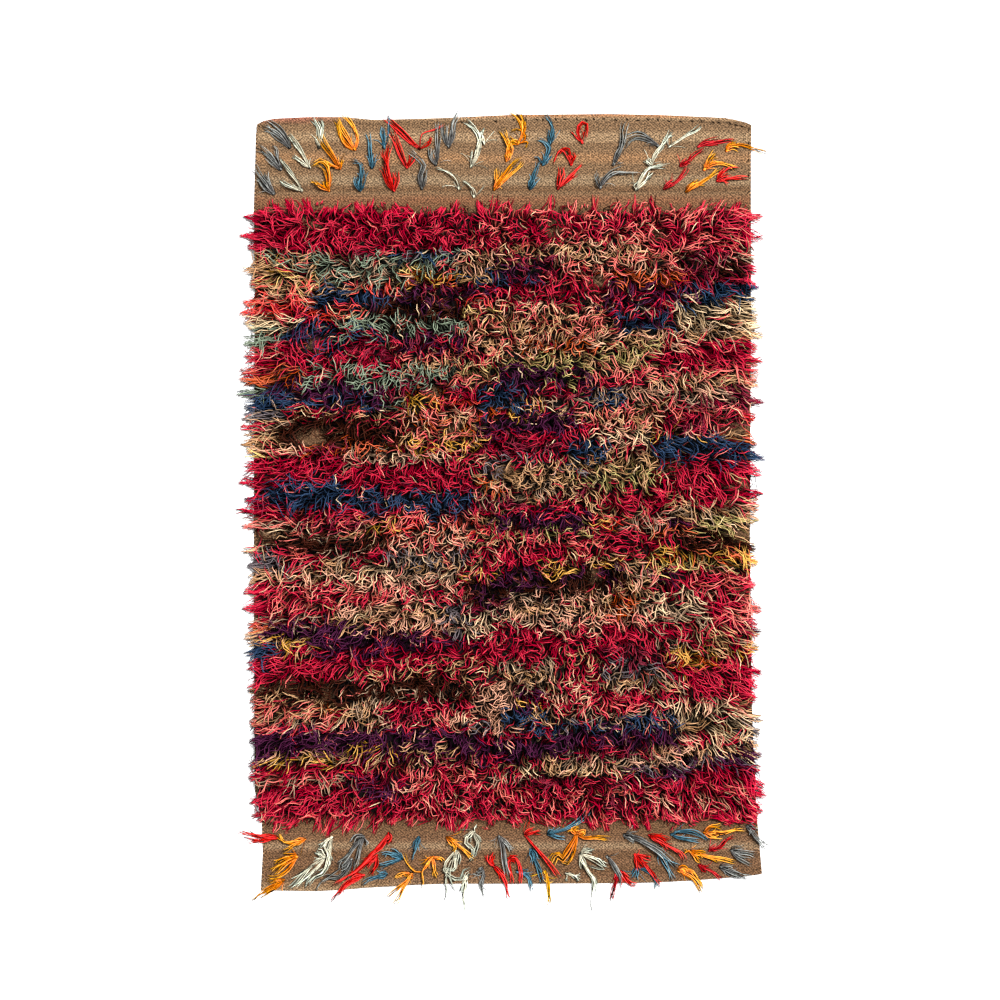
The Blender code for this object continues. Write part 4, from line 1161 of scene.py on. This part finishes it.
def rested(x, y, z, radii):
    """Heights held above the cloth, and let down to the floor past its outline."""
    room = room_inside(x, y)
    most = np.interp(room, *TUFT_HIGHEST)
    hem = smooth_step(HEM_DEPTH + 2.0, HEM_DEPTH, y - edge_at(TOP_EDGE, x))
    cloth = GROUND_TOP + (HEM_TOP - GROUND_TOP) * hem
    least = np.where(room > -1.5, cloth, 0.0) + 0.8 * radii
    return np.maximum(np.minimum(z, most), least)


def tuft_of(line, height, rng):
    """One tuft from its line of text: its wool's number, and its yarns."""
    head, *strands = line.split(" > ")
    wool, knot = head.split()
    knot = place_of(knot)
    yarns, toward = [], None
    for strand in strands:
        words = strand.split()
        kind = words.pop(0) if words[0] in TUFT_YARNS else "normal"
        places = [place_of(word) for word in words]
        toward = toward or places[0]
        width = TUFT_HALF_WIDTHS[kind] * FLUFF.get(wool, 1.0)
        yarns += tuft_strand([knot, *places], kind, width, height, rng)
    yarns += tuft_knot(*knot, toward, rng)
    yarns += tuft_wisps(*knot, toward, height, rng)
    return TUFT_NAMES.index(wool), yarns


def build_tufts(material):
    rng = np.random.default_rng(SEED + 1)
    taper = 1.0 - 0.65 * smooth_step(0.5, 1.0, np.linspace(0.0, 1.0, TUFT_STATIONS))
    for row, (height, text) in TUFT_ROWS.items():
        yarns, bands = [], []
        for line in lines_of(text):
            wool, made = tuft_of(line, height, rng)
            yarns += made
            bands += [wool * TONES + yarn.tone for yarn in made]
        x, y, z = (np.array([yarn[axis] for yarn in yarns]) for axis in range(3))
        radii = TUFT_YARN_RADIUS * taper * np.array([[yarn.thickness] for yarn in yarns])
        paths = np.stack([rug_x(x), rug_y(y), rested(x, y, z, radii)], axis=2)
        tufts = tubes(f"wool_tufts_{row}", paths, radii, np.array(bands), len(TUFT_WOOLS))
        tufts.data.materials.append(material)
        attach(tufts, "root")
        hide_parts(f"tufts_{row}")


# The stitches that hold the hem down: where each dark thread shows, along the edge and below it
TOP_STITCHES = (
    (259, 3), (462, 5), (470, 6), (496, 6), (514, 5), (526, 5), (537, 5), (543, 5), (556, 5), (565, 5),
    (577, 5), (586, 6), (594, 5), (604, 5), (616, 6), (627, 5), (638, 6), (648, 5), (658, 5), (669, 6),
    (681, 6), (692, 5), (701, 4), (713, 5), (719, 5), (730, 5), (736, 5), (742, 5),
)
SIDE_STITCHES = (129, 143, 160, 176, 192)
STITCH_HALF = 1.6
THREAD_COLOUR = (18, 12, 12)
THREAD_RADIUS = 0.0012


def stitch(x, y, slant, rng):
    """One short thread that comes up out of the cloth, lies across it and goes back in."""
    share = np.linspace(-1.0, 1.0, 5)
    slant = slant + rng.normal(0.0, 0.25)
    px, py = x + STITCH_HALF * share * math.cos(slant), y - STITCH_HALF * share * math.sin(slant)
    z = HEM_TOP + 0.0006 - 0.0014 * share ** 4
    return np.stack([rug_x(px), rug_y(py), z], axis=1)


def build_stitches(material):
    rng = np.random.default_rng(SEED + 2)
    paths = [stitch(x, float(edge_at(TOP_EDGE, x)) + below, -0.6, rng) for x, below in TOP_STITCHES]
    paths += [stitch(float(edge_at(RIGHT_EDGE, y)) - 2.5, y, 1.2, rng) for y in SIDE_STITCHES]
    paths = np.array(paths)
    radii = np.full(paths.shape[:2], THREAD_RADIUS)
    bands = np.linspace(0, len(TUFT_WOOLS) * TONES - 1, len(paths)).astype(int)
    threads = tubes("hem_stitches", paths, radii, bands, len(TUFT_WOOLS))
    threads.data.materials.append(material)
    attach(threads, "root")
    return threads


def thread_material():
    """Dark sewing thread with a fine twist."""
    nodes = Nodes("hem_thread")
    # The twist is painted as stripes of shade along the thread.
    twist = nodes.wave(nodes.map_place()[0], 40.0)
    light = nodes.grey_ramp(twist, ((0.0, 0.5), (1.0, 1.0)))
    nodes.finish("Base Color", nodes.darkened((*srgb(THREAD_COLOUR), 1.0), light))
    nodes.finish("Roughness", nodes.plus(nodes.times(twist, 0.05), 0.8))
    nodes.finish("Specular IOR Level", 0.05)
    return nodes.material


# The woven ground
GROUND_COLUMNS = 46
EDGE_COLUMNS = (0.0, 0.0025, 0.005)
GROUND_RIGHT_PX = 751
UPPER_LEFT_PX = 258
SELVEDGE_WIDTH = 1.8
SELVEDGE_DROP = 0.0006
LINES_LENGTH = 765.0
BANDS_END, BANDS_START = 100, 690
BAND_ROW_STEP = 1.0
MIDDLE_ROW_STEP = 5.0
RIB_HEIGHT = 0.00022
UNDERSIDE_MAP_SHARE = 0.985
MAP_MARGIN, MAP_SPAN = 0.01, 0.98


def ground_lines():
    """Where lines across the ground lie, as shares of its length: close in the end bands."""
    lines = [0.0]
    while lines[-1] < LINES_LENGTH:
        in_band = lines[-1] < BANDS_END or lines[-1] > BANDS_START
        lines.append(lines[-1] + (BAND_ROW_STEP if in_band else MIDDLE_ROW_STEP))
    return np.array(lines) / lines[-1]


def daylight(x, y):
    """How much daylight is painted on the ground: fully on the end bands and the bare patches, little under
    the pile, which is painted in deep shade.
    """
    light = np.maximum(smooth_step(5.0, -1.0, end_room(y)), 0.6 * smooth_step(6.0, 1.0, side_room(x, y)))
    for px, py, half_w, half_h in BARE_PATCHES:
        spread = ((x - px) / (half_w + 3)) ** 2 + ((y - py) / (half_h + 3)) ** 2
        light = np.maximum(light, smooth_step(1.3, 0.6, spread))
    return light


def ground_surface():
    """The upper face's grid: places in pixels, heights, and how near the selvedge's binding each one is."""
    shares = ground_lines()
    edge = np.array(EDGE_COLUMNS)
    places = np.concatenate([edge, np.linspace(0.012, 0.988, GROUND_COLUMNS), 1.0 - edge[::-1]])
    rows = len(shares)
    across = places[None] * np.ones((rows, 1))
    rough_x = UPPER_LEFT_PX + (GROUND_RIGHT_PX - UPPER_LEFT_PX) * across
    top, bottom = edge_at(TOP_EDGE, rough_x), edge_at(BOTTOM_EDGE, rough_x)
    y = top + (bottom - top) * shares[:, None]
    left, right = edge_at(LEFT_EDGE, y), edge_at(RIGHT_EDGE, y)
    x = left + (right - left) * across
    ribs = RIB_HEIGHT * np.where(np.arange(rows) % 2 == 0, -1.0, 0.0)[:, None]
    hem = smooth_step(HEM_DEPTH + 1.0, HEM_DEPTH - 1.0, y - top) * smooth_step(-1.0, 1.8, y - top)
    selvedge = np.minimum(x - left, right - x)
    z = GROUND_TOP + ribs + (HEM_TOP - GROUND_TOP) * hem
    z = z - SELVEDGE_DROP * (selvedge < 0.5) * (1 - hem)
    return x, y, z, smooth_step(SELVEDGE_WIDTH, 0.0, selvedge) * (1 - hem)


def slab_faces(rows, columns):
    """A grid's faces, its rim's points in order, the walls below the rim, and the one face underneath."""
    index = np.arange(rows * columns).reshape(rows, columns)
    quads = np.stack([index[:-1, :-1], index[1:, :-1], index[1:, 1:], index[:-1, 1:]], axis=2).reshape(-1, 4)
    rim = np.concatenate([index[0, :-1], index[:-1, -1], index[-1, :0:-1], index[:0:-1, 0]])
    low = rows * columns + np.arange(len(rim))
    walls = np.stack([rim, np.roll(rim, -1), np.roll(low, -1), low], axis=1)
    return rim, [quads, walls, low[None]]


def mark(ground, name, values):
    """A number at each point for the material to read, which is 1 around the underside."""
    rest = np.ones(len(ground.data.vertices) - values.size)
    layer = ground.data.attributes.new(name, "FLOAT", "POINT")
    layer.data.foreach_set("value", np.concatenate([values.ravel(), rest]).astype(np.float32))


def build_ground(material):
    x, y, z, binding = ground_surface()
    rim, faces = slab_faces(*z.shape)
    upper = np.stack([rug_x(x), rug_y(y), z], axis=2).reshape(-1, 3)
    lower = upper[rim].copy()
    lower[:, 2] = 0.0
    points = np.concatenate([upper, lower])
    span = np.array(GROUND_HIGH)[:2] - np.array(GROUND_LOW)[:2]
    place = (points[:, :2] - np.array(GROUND_LOW)[:2]) / span
    place[len(upper):] = 0.5 + (place[len(upper):] - 0.5) * UNDERSIDE_MAP_SHARE
    place = MAP_MARGIN + MAP_SPAN * place
    ground = mesh_object("woven_sheet", points, faces, [place[corners] for corners in faces])
    ground.data.polygons.foreach_set("use_smooth", np.zeros(len(ground.data.polygons), bool))
    mark(ground, "daylight", daylight(x, y))
    mark(ground, "selvedge", binding)
    ground.data.materials.append(material)
    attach(ground, "root")
    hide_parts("ground")
    return ground


# The ground's wools, and its stripes from the lower end up: the photograph's y of each stripe's middle. The
# darker and redder stripes next to the pile's ends, at 826 and from 200 to 209, are partly the wool's own
# colour and partly painted shade and painted red reflection from the pile.
GROUND_WOOLS = {
    "fawn": (147, 114, 82), "sand": (178, 145, 109), "rose": (176, 132, 92), "umber": (122, 88, 59),
    "brick": (152, 103, 71), "hazel": (135, 98, 69), "rust_edge": (196, 137, 93),
    "ash": (168, 139, 106),
}
GROUND_STRIPES = (
    (889, "sand"), (884, "fawn"), (876, "hazel"), (870, "umber"), (862, "hazel"), (854, "umber"),
    (851, "hazel"), (846, "ash"), (840, "hazel"), (826, "umber"), (300, "hazel"), (209, "umber"),
    (200, "brick"), (193, "fawn"), (189, "umber"), (186, "fawn"), (183, "ash"), (178, "ash"), (174, "fawn"),
    (163.5, "fawn"), (161.5, "rose"), (155, "rose"), (152, "fawn"), (143.5, "fawn"), (141.5, "sand"),
    (134, "sand"), (130, "fawn"), (122, "fawn"), (119, "sand"), (116.5, "rust_edge"), (114, "rust_edge"),
)
UNDER_PILE_SHADE = (0.012, 0.006, 0.005)
WEAVE_PITCH = 3.1
WEFT_PITCH = 2.7
SELVEDGE_PITCH = 4.2
SELVEDGE_LIGHT = (214, 172, 130)
SELVEDGE_DARK = (84, 56, 38)
# The hem's reddish end, as shares of the ground's width and of its height
BLUSH = (184, 104, 84)
BLUSH_ACROSS = ((0.1, 1.0), (0.2, 0.0))
BLUSH_UP = ((0.978, 0.0), (0.984, 0.8))
GRAIN_LIGHT = ((0.0, 0.10), (0.3, 0.22), (0.5, 0.38), (0.7, 0.57), (1.0, 0.82))


def weave_grain(nodes, place, across, up):
    """The salt-and-pepper weave, a lattice of warp and weft that swims a little, and its flecks apart."""
    speckle = nodes.noise(0.62, Vector=place)
    swim = nodes.times(nodes.math("SUBTRACT", nodes.noise(0.12, Vector=place), 0.5), 9.0)
    warp = nodes.plus(nodes.times(across, 2 * math.pi / WEAVE_PITCH), swim)
    weft = nodes.math("SUBTRACT", nodes.times(up, 2 * math.pi / WEFT_PITCH), swim)
    lattice = nodes.times(nodes.wave(warp), nodes.wave(weft))
    fleck = nodes.times(nodes.math("SUBTRACT", speckle, 0.5), 2.6)
    return nodes.plus(nodes.plus(nodes.times(lattice, 0.26), fleck), 0.5), speckle


def ground_material():
    """Flat-woven wool: soft stripes along the weft, and a speckled weave that also gives the bump."""
    nodes = Nodes("flat_weave")
    wide = (GROUND_HIGH[0] - GROUND_LOW[0]) / PIXEL
    tall = (GROUND_HIGH[1] - GROUND_LOW[1]) / PIXEL
    share_across, share_up = nodes.map_place()
    across, up = nodes.times(share_across, wide), nodes.times(share_up, tall)
    place = nodes.add("ShaderNodeCombineXYZ", {0: across, 1: up}).outputs[0]

    wander = nodes.times(nodes.math("SUBTRACT", nodes.noise(0.02, Vector=place), 0.5), 4.0)
    stripes = nodes.ramp(nodes.math("DIVIDE", nodes.plus(up, wander), tall), stripe_stops(tall))
    worn = nodes.grey_ramp(nodes.noise(0.09, Vector=place), ((0.3, 0.92), (0.7, 1.06)))
    grain, speckle = weave_grain(nodes, place, across, up)
    light = nodes.grey_ramp(grain, GRAIN_LIGHT)

    bound = nodes.add("ShaderNodeAttribute", attribute_name="selvedge").outputs["Fac"]
    looped = nodes.wave(up, 2 * math.pi / SELVEDGE_PITCH)
    cord = nodes.ramp(looped, ((0.0, srgb(SELVEDGE_DARK)), (0.5, srgb(SELVEDGE_LIGHT))))
    blush = nodes.times(nodes.grey_ramp(share_across, BLUSH_ACROSS), nodes.grey_ramp(share_up, BLUSH_UP))
    blushed = nodes.mix(blush, stripes, (*srgb(BLUSH), 1.0))
    woven = nodes.darkened(nodes.darkened(nodes.mix(bound, blushed, cord), worn), light)
    # Under the pile the weave is painted in near black shade, and the daylight mark lets its own colour show
    # where the ground lies open.
    daylit = nodes.add("ShaderNodeAttribute", attribute_name="daylight").outputs["Fac"]
    shaded = nodes.darkened(woven, (*UNDER_PILE_SHADE, 1.0))
    nodes.finish("Base Color", nodes.mix(daylit, shaded, woven))
    nodes.bump(0.6, 0.0006, grain)
    nodes.finish("Roughness", nodes.math("SUBTRACT", 0.98, nodes.times(speckle, 0.12)))
    nodes.finish("Specular IOR Level", 0.15)
    return nodes.material


def stripe_stops(tall):
    """The stripes as stops of a colour ramp that runs up the ground."""
    return [
        (MAP_MARGIN + MAP_SPAN * (GROUND_BOTTOM_PX - y) / tall, srgb(GROUND_WOOLS[wool]))
        for y, wool in GROUND_STRIPES
    ]


# The stage
CAMERA_HEIGHT = 6.0
PHOTO_SIZE = 1000
FLOOR_HALF = 24.0
FLOOR_DROP = 0.0002
ROOM_LIGHT = 0.62
KEY_LIGHT = 8.0
KEY_SOFTNESS = math.radians(16)
KEY_FROM = Vector((0.55, 0.5, 1.0))


def build_floor():
    nodes = Nodes("studio_floor")
    paint = nodes.ramp(nodes.noise(3.0, 1.0), ((0.0, (0.90, 0.90, 0.90)), (1.0, (0.93, 0.93, 0.93))))
    nodes.finish("Base Color", paint)
    nodes.finish("Roughness", 0.9)
    mesh = bpy.data.meshes.new("studio_floor")
    turns = ((-1, -1), (1, -1), (1, 1), (-1, 1))
    mesh.from_pydata([(x * FLOOR_HALF, y * FLOOR_HALF, 0.0) for x, y in turns], [], [(0, 1, 2, 3)])
    mesh.materials.append(nodes.material)
    floor = link(bpy.data.objects.new("studio_floor", mesh))
    floor.location.z = -FLOOR_DROP


def build_light():
    """A white room, and one large soft light from the upper right."""
    world = bpy.data.worlds.new("studio_light")
    world.use_nodes = True
    background = world.node_tree.nodes["Background"]
    background.inputs["Color"].default_value = (1.0, 1.0, 1.0, 1.0)
    background.inputs["Strength"].default_value = ROOM_LIGHT
    bpy.context.scene.world = world
    sun = bpy.data.lights.new("soft_key", "SUN")
    sun.energy = KEY_LIGHT
    sun.angle = KEY_SOFTNESS
    key = link(bpy.data.objects.new("soft_key", sun))
    key.rotation_euler = KEY_FROM.to_track_quat("Z", "Y").to_euler()


def build_camera():
    """Straight above the rug, at the height where the photograph's frame is as wide as the lens sees."""
    lens = bpy.data.cameras.new("photo_camera")
    lens.sensor_fit = "HORIZONTAL"
    lens.angle = 2 * math.atan(PHOTO_SIZE * PIXEL / 2 / CAMERA_HEIGHT)
    camera = link(bpy.data.objects.new("photo_camera", lens))
    camera.location = (float(rug_x(PHOTO_SIZE / 2)), float(rug_y(PHOTO_SIZE / 2)), CAMERA_HEIGHT)
    bpy.context.scene.camera = camera
    bpy.context.scene.view_settings.view_transform = "Standard"


build_camera()
build_floor()
build_light()
ground = build_ground(ground_material())
build_shag(wool_material("shag_wool", SHAG_WOOLS, SHAG_WOOLS, 6.0, 0.02, SHAG_ROOT_LIGHT, SHAG_SIDE_LIGHT))
build_tufts(wool_material("tuft_wool", TUFT_WOOLS, TUFT_TIPS, 5.0, 0.06, TUFT_ROOT_LIGHT, TUFT_SIDE_LIGHT))
hem_stitches = build_stitches(thread_material())
